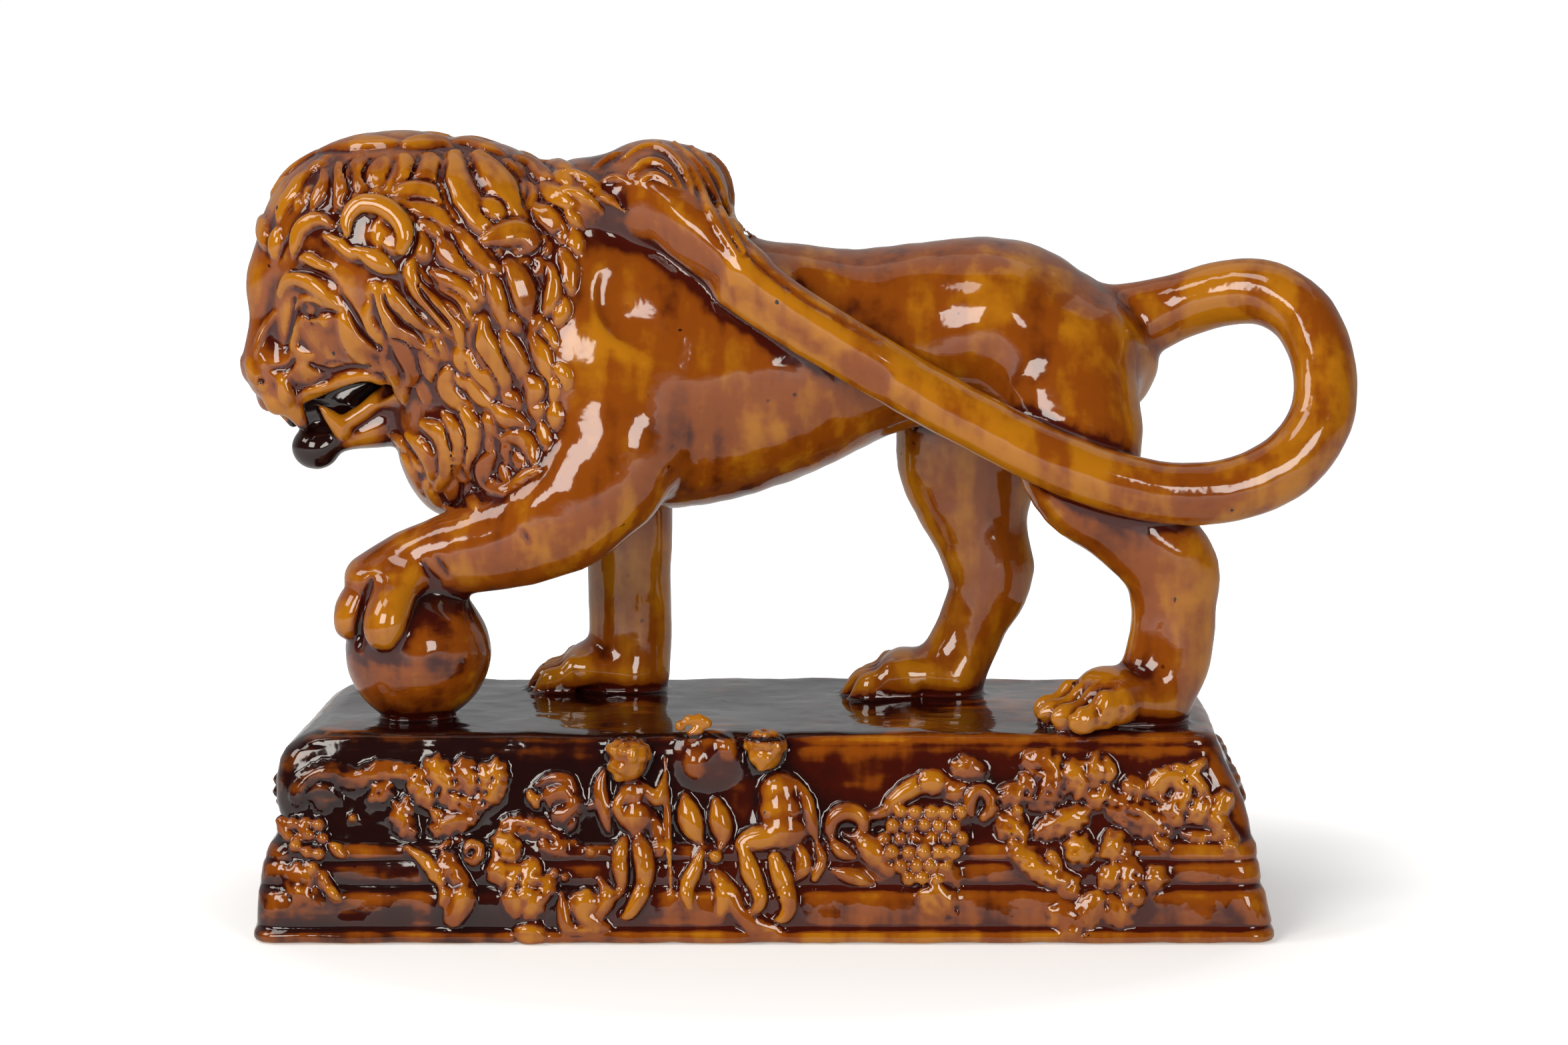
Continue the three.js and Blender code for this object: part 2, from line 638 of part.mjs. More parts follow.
function buildLion() {
  const head = join([...skullAndFace(), ...lowerJaw()]).subtract(toSolid(mouthHollow()));
  const body = join([
    ...trunk(),
    ...nearHindLeg(),
    ...farHindLeg(),
    ...farForeleg(),
    ...raisedForeleg(),
    ...ballUnderPaw(),
    ...tail(),
    ...tuft(),
    ...eyes(),
    ...ears(),
    ...teeth(),
    ...tongue(),
    ...mane(),
    ...looseLocks(),
    ...plinth(),
    ...frontRelief(),
    ...backRelief(),
    ...leftEndRelief(),
    ...rightEndRelief(),
  ]);
  const glaze = new THREE.MeshStandardMaterial({ color: 0x8a4a12, roughness: 0.12, metalness: 0 });
  const mesh = new THREE.Mesh(toGeometry(body.add(head)), glaze);
  mesh.name = "lion_on_plinth";
  return mesh;
}

const staffordshireLion = new THREE.Group();
staffordshireLion.add(buildLion());

export default staffordshireLion;
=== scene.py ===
"""A press-moulded earthenware lion on its plinth, modelled in clay and glazed in honey-brown lead glaze."""

import math

import bpy
import numpy as np
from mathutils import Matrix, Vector


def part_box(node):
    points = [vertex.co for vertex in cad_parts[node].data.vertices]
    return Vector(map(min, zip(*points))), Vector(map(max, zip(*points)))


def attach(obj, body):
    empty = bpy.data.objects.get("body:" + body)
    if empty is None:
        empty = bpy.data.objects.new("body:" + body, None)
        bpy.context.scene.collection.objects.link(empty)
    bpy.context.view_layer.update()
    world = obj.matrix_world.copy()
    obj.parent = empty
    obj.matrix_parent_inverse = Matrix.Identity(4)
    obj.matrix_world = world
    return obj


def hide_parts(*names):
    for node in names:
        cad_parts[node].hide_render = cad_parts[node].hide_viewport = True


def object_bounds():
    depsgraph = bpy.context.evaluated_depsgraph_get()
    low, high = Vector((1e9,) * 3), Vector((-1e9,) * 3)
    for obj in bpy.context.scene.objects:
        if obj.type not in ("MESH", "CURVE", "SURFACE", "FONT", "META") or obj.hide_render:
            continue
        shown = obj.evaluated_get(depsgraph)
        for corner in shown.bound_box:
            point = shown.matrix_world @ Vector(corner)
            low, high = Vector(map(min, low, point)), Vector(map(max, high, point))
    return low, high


bl_info = {
    "name": "Pottery lion",
    "version": (1, 0, 0),
    "blender": (4, 5, 0),
    "location": "3D View > Sidebar > Pottery lion",
    "description": "Models a pottery lion on its plinth in clay, glazes it and lights it",
    "category": "Add Mesh",
}

NODE = "lion_on_plinth"
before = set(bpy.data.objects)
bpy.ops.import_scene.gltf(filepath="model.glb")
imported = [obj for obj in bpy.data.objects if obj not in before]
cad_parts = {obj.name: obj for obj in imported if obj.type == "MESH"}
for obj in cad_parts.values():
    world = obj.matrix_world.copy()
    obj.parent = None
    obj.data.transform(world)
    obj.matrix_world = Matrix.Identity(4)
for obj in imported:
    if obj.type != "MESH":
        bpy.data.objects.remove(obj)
CAD_LOW, CAD_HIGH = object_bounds()
NODE_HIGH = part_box(NODE)[1]

MM = 1000.0
FINE_GRID = 0.8  # mm between the clay's samples
FACE_BUDGET = 195000  # triangles the finished skin may have
MARGIN = 4.0  # mm of empty clay round the lion
FAR = 12.0  # mm: the distance that stands for anywhere well outside the skin
FACET_CUTTER = 3.0  # mm: half the thickness of the flat tool
STROKE_STEP = 1.4  # mm between the stations of a stroke drawn over the photograph
PLINTH_TOP = 0.060
CROWN_LOCKS = 0.0012  # m that the locks stand above the crown of the skull


def linear(hex_colour):
    """An sRGB hex value as linear red, green and blue."""
    channels = [int(hex_colour[k : k + 2], 16) / 255 for k in (1, 3, 5)]
    return tuple(c / 12.92 if c <= 0.04045 else ((c + 0.055) / 1.055) ** 2.4 for c in channels)


class PotteryLionSettings(bpy.types.PropertyGroup):
    """Sizes and colours of the lion."""

    plinth_length: bpy.props.FloatProperty(
        name="Plinth length", description="Length of the plinth at its foot", default=0.298, unit="LENGTH"
    )
    plinth_depth: bpy.props.FloatProperty(
        name="Plinth depth", description="Depth of the plinth at its foot", default=0.126, unit="LENGTH"
    )
    plinth_height: bpy.props.FloatProperty(
        name="Plinth height", description="Height of the plinth's top", default=PLINTH_TOP, unit="LENGTH"
    )
    figure_height: bpy.props.FloatProperty(
        name="Figure height",
        description="Height of the lion's crown above the plinth's top",
        default=NODE_HIGH.z - PLINTH_TOP - CROWN_LOCKS,
        unit="LENGTH",
    )
    ball_radius: bpy.props.FloatProperty(
        name="Ball radius", description="Radius of the ball under the paw", default=0.0212, unit="LENGTH"
    )
    thin_glaze: bpy.props.FloatVectorProperty(
        name="Thin glaze",
        description="Glaze where it has run thin over high relief",
        default=linear("#A8690F"),
        size=3,
        subtype="COLOR",
    )
    honey_glaze: bpy.props.FloatVectorProperty(
        name="Honey glaze",
        description="Glaze at its usual thickness",
        default=linear("#82400A"),
        size=3,
        subtype="COLOR",
    )
    pooled_glaze: bpy.props.FloatVectorProperty(
        name="Pooled glaze",
        description="Glaze where it has pooled in a hollow",
        default=linear("#3E0F06"),
        size=3,
        subtype="COLOR",
    )
    iron_glaze: bpy.props.FloatVectorProperty(
        name="Iron glaze",
        description="Dark glaze that floods the plinth",
        default=linear("#1E0A09"),
        size=3,
        subtype="COLOR",
    )
    bare_clay: bpy.props.FloatVectorProperty(
        name="Bare clay",
        description="Unglazed clay along the foot",
        default=linear("#C9A77E"),
        size=3,
        subtype="COLOR",
    )


# Clay


def smooth_min(a, b, softness):
    """The lesser of two distances, with the join filleted over softness."""
    overlap = np.maximum(softness - np.abs(a - b), 0.0) / softness
    return np.minimum(a, b) - overlap * overlap * (softness * 0.25)


def resample(stations, step):
    """Stations on a Catmull-Rom curve, about step apart along their first three values."""
    points = np.asarray(stations, float)
    padded = np.vstack([2 * points[0] - points[1], points, 2 * points[-1] - points[-2]])
    line = []
    for k in range(len(points) - 1):
        before, start, end, after = padded[k : k + 4]
        count = max(1, int(np.ceil(np.linalg.norm(end[:3] - start[:3]) / step)))
        t = (np.arange(count) / count)[:, None]
        bend = (2 * before - 5 * start + 4 * end - after) * t**2
        twist = (3 * start - before - 3 * end + after) * t**3
        line.append(0.5 * (2 * start + (end - before) * t + bend + twist))
    line.append(points[-1:])
    return np.vstack(line)


def cos_sin(degrees):
    return math.cos(math.radians(degrees)), math.sin(math.radians(degrees))


def swelling(count):
    """Shares of a stroke's width at count even places along it: full in the middle, less at the ends."""
    return np.sqrt(np.sin(np.pi * np.clip(np.linspace(0, 1, count), 0.04, 0.96)))


def ramp(value, run):
    """From 0 to 1 as a value rises from 0 to run."""
    return np.clip(value / run, 0, 1)


class Clay:
    """A block of clay as a grid of distances to its skin, in millimetres: below 0 is inside."""

    def __init__(self, low, high, grid):
        self.grid = grid
        self.low = np.floor(np.asarray(low) / grid) * grid
        counts = np.ceil((np.asarray(high) - self.low) / grid).astype(int) + 1
        self.axes = [(self.low[k] + grid * np.arange(counts[k])).astype(np.float32) for k in range(3)]
        self.skin = np.full(counts, FAR, np.float32)

    def window(self, low, high):
        """Slices of the grid between two corners, and the coordinates there, ready to broadcast."""
        slices = []
        for k in range(3):
            first = int(max(0, math.floor((low[k] - self.low[k]) / self.grid)))
            last = int(min(len(self.axes[k]), math.ceil((high[k] - self.low[k]) / self.grid) + 1))
            slices.append(slice(first, max(last, first)))
        x, y, z = (self.axes[k][slices[k]] for k in range(3))
        return tuple(slices), (x[:, None, None], y[None, :, None], z[None, None, :])

    def add(self, slices, distance, softness):
        self.skin[slices] = smooth_min(self.skin[slices], distance, softness)

    def cut(self, slices, distance, softness):
        self.skin[slices] = -smooth_min(-self.skin[slices], distance, softness)

    def lump(self, centre, radii, softness=3.0, turn=0.0, tilt=0.0, cut=False):
        """An ellipsoid, turned about +Z and then tilted about +Y, in degrees."""
        reach = max(radii) + softness + 2
        slices, (x, y, z) = self.window(np.asarray(centre) - reach, np.asarray(centre) + reach)
        x, y, z = x - centre[0], y - centre[1], z - centre[2]
        c, s = cos_sin(turn)
        x, y = c * x + s * y, c * y - s * x
        c, s = cos_sin(tilt)
        x, z = c * x - s * z, s * x + c * z
        rx, ry, rz = radii
        near = np.sqrt((x / rx) ** 2 + (y / ry) ** 2 + (z / rz) ** 2)
        slope = np.sqrt((x / rx**2) ** 2 + (y / ry**2) ** 2 + (z / rz**2) ** 2)
        distance = near * (near - 1) / np.maximum(slope, 1e-4)
        (self.cut if cut else self.add)(slices, distance, softness)

    def limb(
        self, stations, across=(0, 1, 0), softness=3.0, step=2.0, cut=False, strands=0, strand_depth=0.5
    ):
        """A limb of oval section through stations [x, y, z, half-width along across, half-thickness].
        Strands are ridges that run its length."""
        line = resample(stations, step)
        reach = line[:, 3:].max() + softness + 2
        slices, _ = self.window(line[:, :3].min(0) - reach, line[:, :3].max(0) + reach)
        if any(part.stop <= part.start for part in slices):
            return
        whole = np.full(tuple(part.stop - part.start for part in slices), FAR, np.float32)
        across = np.broadcast_to(np.asarray(across, float), (len(line), 3))
        for k in range(len(line) - 1):
            start, end = line[k], line[k + 1]
            run = end[:3] - start[:3]
            length = float(np.linalg.norm(run))
            if length < 1e-6:
                continue
            along = run / length
            wide = across[k] - across[k].dot(along) * along
            wide /= max(np.linalg.norm(wide), 1e-6)
            thick = np.cross(along, wide)
            pad = max(start[3:].max(), end[3:].max()) + softness + 1
            inner, (x, y, z) = self.window(
                np.minimum(start[:3], end[:3]) - pad, np.maximum(start[:3], end[:3]) + pad
            )
            near_part = tuple(slice(i.start - o.start, i.stop - o.start) for i, o in zip(inner, slices))
            px, py, pz = x - start[0], y - start[1], z - start[2]
            reading = [(px * a[0] + py * a[1] + pz * a[2]).astype(np.float32) for a in (wide, thick, along)]
            u, v, s = reading
            held = np.clip(s, 0, length)
            share = held * (1 / length)
            beyond = s - held
            a = start[3] + (end[3] - start[3]) * share
            b = start[4] + (end[4] - start[4]) * share
            least = np.minimum(a, b)
            near = np.sqrt((u / a) ** 2 + (v / b) ** 2 + (beyond / least) ** 2)
            slope = np.sqrt((u / a**2) ** 2 + (v / b**2) ** 2 + (beyond / least**2) ** 2)
            distance = near * (near - 1) / np.maximum(slope, 1e-4)
            if strands:
                distance += strand_depth * (1 - np.abs(np.cos(np.arctan2(v * a, u * b) * strands * 0.5)))
            whole[near_part] = np.minimum(whole[near_part], distance)
        (self.cut if cut else self.add)(slices, whole, softness)

    def soften(self, strength=1.0):
        """Blurs the skin over neighbouring samples, as slip and glaze do."""
        for axis in range(3):
            field = np.moveaxis(self.skin, axis, 0)
            middle = field[1:-1] * (1 - strength / 2) + (field[:-2] + field[2:]) * (strength / 4)
            field[1:-1] = middle

    def sample(self, points, field=None):
        """Distances at points, read between the samples."""
        field = self.skin if field is None else field
        place = (np.asarray(points) - self.low) / self.grid
        place = np.clip(place, 0, np.array(field.shape) - 1.001)
        base = place.astype(int)
        t = place - base
        total = 0
        for corner in range(8):
            step = np.array([corner & 1, corner >> 1 & 1, corner >> 2 & 1])
            weight = np.prod(np.where(step, t, 1 - t), axis=1)
            index = base + step
            total = total + weight * field[index[:, 0], index[:, 1], index[:, 2]]
        return total

    def normals(self, points, reach, field=None):
        """Outward directions at points, over the given reach in millimetres."""
        points = np.asarray(points, float)
        slopes = []
        for axis in range(3):
            offset = np.zeros(3)
            offset[axis] = reach
            slopes.append(self.sample(points + offset, field) - self.sample(points - offset, field))
        found = np.stack(slopes, axis=1)
        return found / np.maximum(np.linalg.norm(found, axis=1, keepdims=True), 1e-9)

    def skin_mesh(self):
        """Vertices in millimetres and quads of the skin, one vertex to each cell that it passes through."""
        inside = self.skin < 0
        flat = self.skin.ravel()
        shape = self.skin.shape
        strides = np.array([shape[1] * shape[2], shape[2], 1])
        cells, corners, quads = [], [], []
        for axis in range(3):
            lower = [slice(None)] * 3
            upper = [slice(None)] * 3
            lower[axis], upper[axis] = slice(0, -1), slice(1, None)
            crossing = np.argwhere(inside[tuple(lower)] != inside[tuple(upper)])
            index = crossing @ strides
            start, end = flat[index], flat[index + strides[axis]]
            place = crossing.astype(np.float64)
            place[:, axis] += start / (start - end)
            others = [k for k in range(3) if k != axis]
            first, second = strides[others]
            ring = [(0, 0), (-1, 0), (-1, -1), (0, -1)]
            quad = np.stack([index + p * first + q * second for p, q in ring], axis=1)
            forward = (start < 0) != (axis == 1)
            quads.append(np.where(forward[:, None], quad, quad[:, ::-1]))
            cells.append(quad.ravel())
            corners.append(np.repeat(place, 4, axis=0))
        corners = np.concatenate(corners)
        used, inverse = np.unique(np.concatenate(cells), return_inverse=True)
        shares = np.bincount(inverse, minlength=len(used))
        vertices = [np.bincount(inverse, corners[:, k], len(used)) / shares for k in range(3)]
        faces = np.searchsorted(used, np.concatenate(quads))
        return self.low + np.stack(vertices, axis=1) * self.grid, faces


# Where the photograph was taken from, in millimetres
AIM = np.array([5.8, 0.0, 115.4])
ELEVATION = math.radians(7.8)
STAND_OFF = 1514.0
SENSOR = 36.0
LENS = 115.87
PHOTO = (2352, 1568)
FOCAL = LENS / SENSOR * PHOTO[0]  # in the photograph's pixels
FORWARD = np.array([0, math.cos(ELEVATION), -math.sin(ELEVATION)])
UPWARD = np.array([0, math.sin(ELEVATION), math.cos(ELEVATION)])
RIGHTWARD = np.array([1.0, 0, 0])
EYE = AIM - FORWARD * STAND_OFF
PIXELS_PER_MM = FOCAL / STAND_OFF

# Views that readings were taken from: left and top in the photograph, and the enlargement
WHOLE_VIEW = (0, 0, 1)
HEAD_VIEW = (350, 180, 2.704)
TUFT_VIEW = (620, 180, 3.136)
PAW_VIEW = (470, 640, 2.570)
LEFT_VIEW = (370, 1020, 2.958)
MIDDLE_VIEW = (860, 1040, 2.8)
RIGHT_VIEW = (1380, 1020, 2.851)


def rows(*stations):
    """Stations as an array, the last value repeated where one is short of the others."""
    longest = max(len(s) for s in stations)
    return np.array([list(s) + [s[-1]] * (longest - len(s)) for s in stations], float)


def sight(view, spots):
    """Directions from the eye through spots of a view."""
    left, top, scale = view
    u = left + spots[:, 0] / scale - PHOTO[0] / 2
    v = PHOTO[1] / 2 - top - spots[:, 1] / scale
    return FORWARD + (u[:, None] * RIGHTWARD + v[:, None] * UPWARD) / FOCAL


def drawn_line(view, spots):
    """Stations at the spacing of strokes along spots of a view; only the first three values count."""
    return resample(spots, STROKE_STEP * view[2] * PIXELS_PER_MM)


def on_flat(spots):
    """Spots [u, v] with a third value of 0."""
    return np.hstack([rows(*spots), np.zeros((len(spots), 1))])


class Lion:
    """The lion in clay, and the frames that its parts are placed in, in millimetres."""

    def __init__(self, sizes):
        self.length = sizes.plinth_length * MM
        self.depth = sizes.plinth_depth * MM
        self.height = sizes.plinth_height * MM
        self.share = sizes.figure_height * MM / 100
        self.ball = sizes.ball_radius * MM
        low = [c * MM - MARGIN for c in CAD_LOW]
        high = [c * MM + MARGIN for c in CAD_HIGH]
        self.clay = Clay(low, high, FINE_GRID)
        self.base = None

    def figure(self, points):
        """From hundredths of the figure's height above the plinth's top to millimetres."""
        return np.asarray(points, float) * self.share + [0, 0, self.height]

    def limb(self, stations, **options):
        """A limb through stations [x, y, z, half-width, half-thickness] in the figure's hundredths."""
        line = rows(*stations)
        if line.shape[1] == 4:
            line = np.hstack([line, line[:, 3:]])
        line = np.hstack([self.figure(line[:, :3]), line[:, 3:] * self.share])
        options.setdefault("step", max(1.2, 0.22 * line[:, 3:].mean()))
        self.clay.limb(line, **options)

    def lump(self, centre, radii, **options):
        self.clay.lump(self.figure(centre), np.asarray(radii) * self.share, **options)

    def on_head(self, points):
        """From [forward, left, up] of the head's middle, which is turned to the viewer, to the
        figure's hundredths."""
        forward, left, up = np.asarray(points, float).T
        c, s = math.cos(HEAD_TURN), math.sin(HEAD_TURN)
        x = HEAD_MIDDLE[0] - c * forward + s * left
        y = HEAD_MIDDLE[1] - s * forward - c * left
        return np.stack([x, y, HEAD_MIDDLE[2] + up], axis=-1)

    def head_limb(self, stations, **options):
        line = rows(*stations)
        line[:, :3] = self.on_head(line[:, :3])
        options.setdefault("across", HEAD_LEFT)
        self.limb(line, **options)

    def head_lump(self, centre, radii, **options):
        self.lump(self.on_head([centre])[0], radii, turn=math.degrees(HEAD_TURN), **options)

    def settle(self):
        """Keeps the clay as it stands, for later strokes to be laid on."""
        self.base = self.clay.skin.copy()

    def meet(self, view, spots):
        """Where the sight lines through spots of an enlarged view meet the settled clay; one that misses
        it ends on the outline beside it."""
        ray = sight(view, np.asarray(spots, float))
        ray /= np.linalg.norm(ray, axis=1, keepdims=True)
        # Each ray is walked by most of its distance to the skin, and keeps the nearest place it came to
        t = (self.clay.axes[1][0] - EYE[1]) / ray[:, 1]
        nearest = np.full(len(t), np.inf)
        best = t.copy()
        for _ in range(80):
            distance = self.clay.sample(EYE + ray * t[:, None], self.base)
            closer = distance < nearest
            nearest = np.where(closer, distance, nearest)
            best = np.where(closer, t, best)
            t = t + np.where(nearest < 0.05, 0, np.maximum(distance * 0.8, 0.15))
        return self.press(EYE + ray * best[:, None])

    def press(self, points):
        """Points moved to the settled clay's skin, and the skin's outward directions there."""
        for _ in range(3):
            normals = self.facing(points)
            points = points - normals * self.clay.sample(points, self.base)[:, None]
        return points, self.facing(points, 2.5)

    def facing(self, points, reach=1.2):
        """Outward directions of the settled clay at points."""
        return self.clay.normals(points, reach, self.base)

    def ribbon(self, points, normals, wide, thick, rise, margin=0.0, **options):
        """A strip of clay along points of the skin, standing rise off it; thick is its half-thickness.
        A margin is first cut round it, so that it lies over what is there with a groove beside it."""
        across = np.cross(normals, np.gradient(points, axis=0))
        if margin:
            bed = points + normals * (rise - thick + margin)[:, None]
            self.clay.limb(np.column_stack([bed, wide + margin, thick]), across, 0.3, step=1e9, cut=True)
        points = points + normals * (rise - thick)[:, None]
        self.clay.limb(np.column_stack([points, wide, thick]), across, step=1e9, **options)

    def mirrored(self, points, plane):
        """Points on the other side of the body, or of the head, which is turned."""
        if plane == "body":
            return points * [1, -1, 1]
        middle = self.figure(HEAD_MIDDLE)
        return points - 2 * ((points - middle) @ HEAD_LEFT)[:, None] * HEAD_LEFT

    def stroke(self, view, spots, rise=1.6, taper=0.45, both=None, flat=0.72, **options):
        """A lock or fold drawn over an enlarged view through spots [u, v, half-width], laid on the clay."""
        line = drawn_line(view, rows(*spots))
        wide = line[:, 2] / view[2] / PIXELS_PER_MM
        wide = wide * (taper + (1 - taper) * swelling(len(line)))
        points, normals = self.meet(view, line[:, :2])
        rises = rise * np.sqrt(wide / wide.max())
        thick = np.maximum(wide * flat, 0.5)
        options.setdefault("softness", 0.7)
        sides = [(points, normals, rises)]
        if both:
            sides.append((*self.press(self.mirrored(points, both)), rises * 0.85))
        for points, normals, rises in sides:
            self.ribbon(self.even(points), self.even(normals), wide, thick, rises, **options)

    def groove(self, view, spots, width, depth, both=None, softness=0.8, lift=0.3):
        """A line pressed into the clay through spots [u, v] of an enlarged view; its middle lies lift
        above the settled clay."""
        points, _ = self.meet(view, drawn_line(view, on_flat(spots)))
        wide = width * (0.4 + 0.6 * np.sin(np.pi * np.linspace(0.05, 0.95, len(points))))
        sides = [points]
        if both:
            sides.append(self.press(self.mirrored(points, both))[0])
        for side in sides:
            side = self.even(side)
            thick = wide + depth * 0.5
            self.ribbon(side, self.facing(side), wide, thick, thick + lift, cut=True, softness=softness)

    def facet(self, view, spots, width, depth):
        """A shallow flat strip pressed along the clay through spots [u, v], fading out at its ends."""
        points = self.even(self.meet(view, drawn_line(view, on_flat(spots)))[0])
        deep = depth * np.sqrt(np.sin(np.pi * np.linspace(0.02, 0.98, len(points))))
        size = np.ones(len(points))
        wide, thick = width * size, FACET_CUTTER * size
        self.ribbon(points, self.facing(points), wide, thick, 2 * FACET_CUTTER - deep, cut=True)

    def dab(self, view, spot, radius, rise, both=None, cut=False, softness=1.0):
        """A round lump laid on the clay at spot [u, v], or a pit pressed in; radius and rise in mm."""
        points, normals = self.meet(view, [spot])
        sides = [(points, normals)]
        if both:
            sides.append(self.press(self.mirrored(points, both)))
        for points, normals in sides:
            centre = points[0] + normals[0] * ((radius - rise) if cut else (rise - radius))
            self.clay.lump(centre, [radius] * 3, softness=softness, cut=cut)

    @staticmethod
    def even(values):
        """Values smoothed along a line, its ends kept."""
        if len(values) < 4:
            return values
        padded = np.vstack([values[:1], values, values[-1:]])
        return (padded[:-2] + 2 * padded[1:-1] + padded[2:]) / 4


# Middle of the head in the figure's hundredths, its turn to the viewer and its own directions
HEAD_MIDDLE = (-70, 0, 68)
HEAD_TURN = math.radians(20)
HEAD_FORWARD = np.array([-math.cos(HEAD_TURN), -math.sin(HEAD_TURN), 0])
HEAD_LEFT = np.array([math.sin(HEAD_TURN), -math.cos(HEAD_TURN), 0])

# The tail in the figure's hundredths: x, y, z and radius
TAIL = [
    [50, 0, 62, 9],
    [57, 0, 64.5, 8.5],
    [64, 0, 67, 6.8],
    [71, -1, 69.6, 5.7],
    [79, -4, 72.3, 5.6],
    [86, -7, 72.5, 5.6],
    [92.1, -11, 68.4, 5.5],
    [95, -15, 60.4, 5.4],
    [94, -18.5, 51.8, 5.5],
    [88.2, -21, 44.6, 5.6],
    [79, -23, 40.8, 5.4],
    [69, -24, 40.2, 5.3],
    [59, -24.5, 42.2, 5.2],
    [48, -24, 46.2, 5.1],
    [37, -22.5, 51.6, 5],
    [26, -21, 57.4, 5],
    [14, -20.5, 64.4, 5.1],
    [4, -19.8, 70.4, 5.2],
    [-4, -18.4, 76, 5.4],
]


def model_body(lion):
    """Trunk, shoulder, haunch and legs, left smooth as the mould made them."""
    lion.limb(
        [
            [-46, 0, 56, 15, 19],
            [-34, 0, 60.5, 19.5, 26],
            [-20, 0, 60, 20.5, 26],
            [-5, 0, 59.3, 19, 22.5],
            [7, 0, 61.2, 17, 18.9],
            [18, 0, 63.3, 15.5, 16.4],
            [30, 0, 65.5, 16, 15.8],
            [41, 0, 66.3, 17, 15.2],
            [51, 0, 61.8, 15, 13.8],
            [58.5, 0, 60, 9, 10.6],
        ],
        softness=8,
        step=7,
    )
    near_hind = [
        [50, -9, 61.6, 9, 13.4],
        [52.6, -13.5, 51, 9.5, 11.6],
        [54, -16.5, 42, 7.8, 9.8],
        [61, -17, 34.6, 6.2, 7.2],
        [69, -17, 27.6, 5.8, 8.2],
        [70, -16.5, 20, 5.6, 7.4],
        [69.2, -16.5, 12, 5.8, 7.5],
        [66.6, -17, 4, 6.4, 6.8],
    ]
    far_hind = [
        [46, 11, 60, 9, 13],
        [36.6, 13, 46, 8.5, 13.2],
        [36.2, 13, 37, 7.2, 11.6],
        [37.8, 12.5, 28, 6, 8.2],
        [39.4, 12, 20, 5.6, 7.2],
        [36.4, 12, 12.5, 5.4, 6.1],
        [32.5, 12, 4, 6, 6.4],
    ]
    far_fore = [
        [-25, 13, 50, 9, 11],
        [-24.6, 16, 38, 7.4, 8.4],
        [-24, 16.5, 24, 6.6, 7.6],
        [-24, 16.5, 12, 6.4, 7.5],
        [-24.2, 16.5, 3.6, 6.8, 7.2],
    ]
    for leg in (near_hind, far_hind, far_fore):
        lion.limb(leg, softness=7)
    # Hock and heel stand out sharp behind the far hind leg
    hock = [[40, 12, 31, 3.2], [43.6, 12, 27.6, 2.4], [44.6, 12, 22.6, 2.2], [41.4, 12, 17, 2.8]]
    lion.limb(hock, softness=3)
    lion.limb([[42, 12, 25.4, 3], [46, 12, 22.8, 1.3], [41.6, 12, 18.4, 2.8]], softness=1.6)
    # Insteps, and the toes before them
    lion.limb([[66, -17, 4, 6.6, 4.4], [58.4, -20, 5.2, 8.2, 5]], across=(0.42, -0.9, 0), softness=4)
    lion.limb([[33, 12, 3.6, 6, 4], [24.6, 12, 4.2, 7.6, 4.2]], softness=4)
    lion.limb([[-24, 16.5, 3.6, 6.8, 4], [-31.4, 16.5, 4.4, 8, 4.4]], softness=4)
    toes(lion, [54.6, -22.4, 2.8], 24, length=9, thick=3.2)
    toes(lion, [22, 12, 2.1], 0, spread=3.8, thick=3.1)
    toes(lion, [-34, 16.5, 2.6], 0, spread=3.8, thick=3.1)


# Swellings of the skin: mm apart, mm high and the seed of their places
BODY_SWELLS = ((21.0, 0.9, 3), (10.0, 0.34, 4))
SKIN_SWELLS = ((4.6, 0.14, 5),)


def undulate(clay, swells):
    """Swellings, as a thumb leaves them when the pressed halves are smoothed together."""
    for spacing, height, seed in swells:
        counts = [int((axis[-1] - axis[0]) / spacing) + 3 for axis in clay.axes]
        field = np.random.default_rng(seed).uniform(-height, height, counts).astype(np.float32)
        for k, axis in enumerate(clay.axes):
            place = (axis - axis[0]) / spacing
            first = place.astype(int)
            share = place - first
            share = (share * share * (3 - 2 * share)).reshape([-1 if n == k else 1 for n in range(3)])
            field = np.take(field, first, axis=k) * (1 - share) + np.take(field, first + 1, axis=k) * share
        clay.skin += field


# Flat places pressed by a thumb: spot in the photograph, reach in mm and the way each faces
THUMB_FLATS = (
    ([974, 443], 15, (-0.204, -0.95, 0.239)),
    ([1252, 425], 11, (-0.204, -0.95, 0.239)),
)
THUMB_DEPTH = 0.15  # mm
THUMB_SOFTNESS = 3.5


def press_flats(lion):
    """The flat places of the shoulder and flank, where the glaze mirrors a window whole."""
    lion.settle()
    for spot, reach, facing in THUMB_FLATS:
        point = lion.meet(WHOLE_VIEW, [spot])[0][0]
        facing = np.array(facing) / np.linalg.norm(facing)
        turn = math.degrees(math.atan2(facing[1], facing[0]))
        tilt = -math.degrees(math.asin(facing[2]))
        thick = reach / 5
        centre = point + facing * (thick - THUMB_DEPTH)
        lion.clay.lump(centre, [thick, reach, reach], THUMB_SOFTNESS, turn, tilt, cut=True)


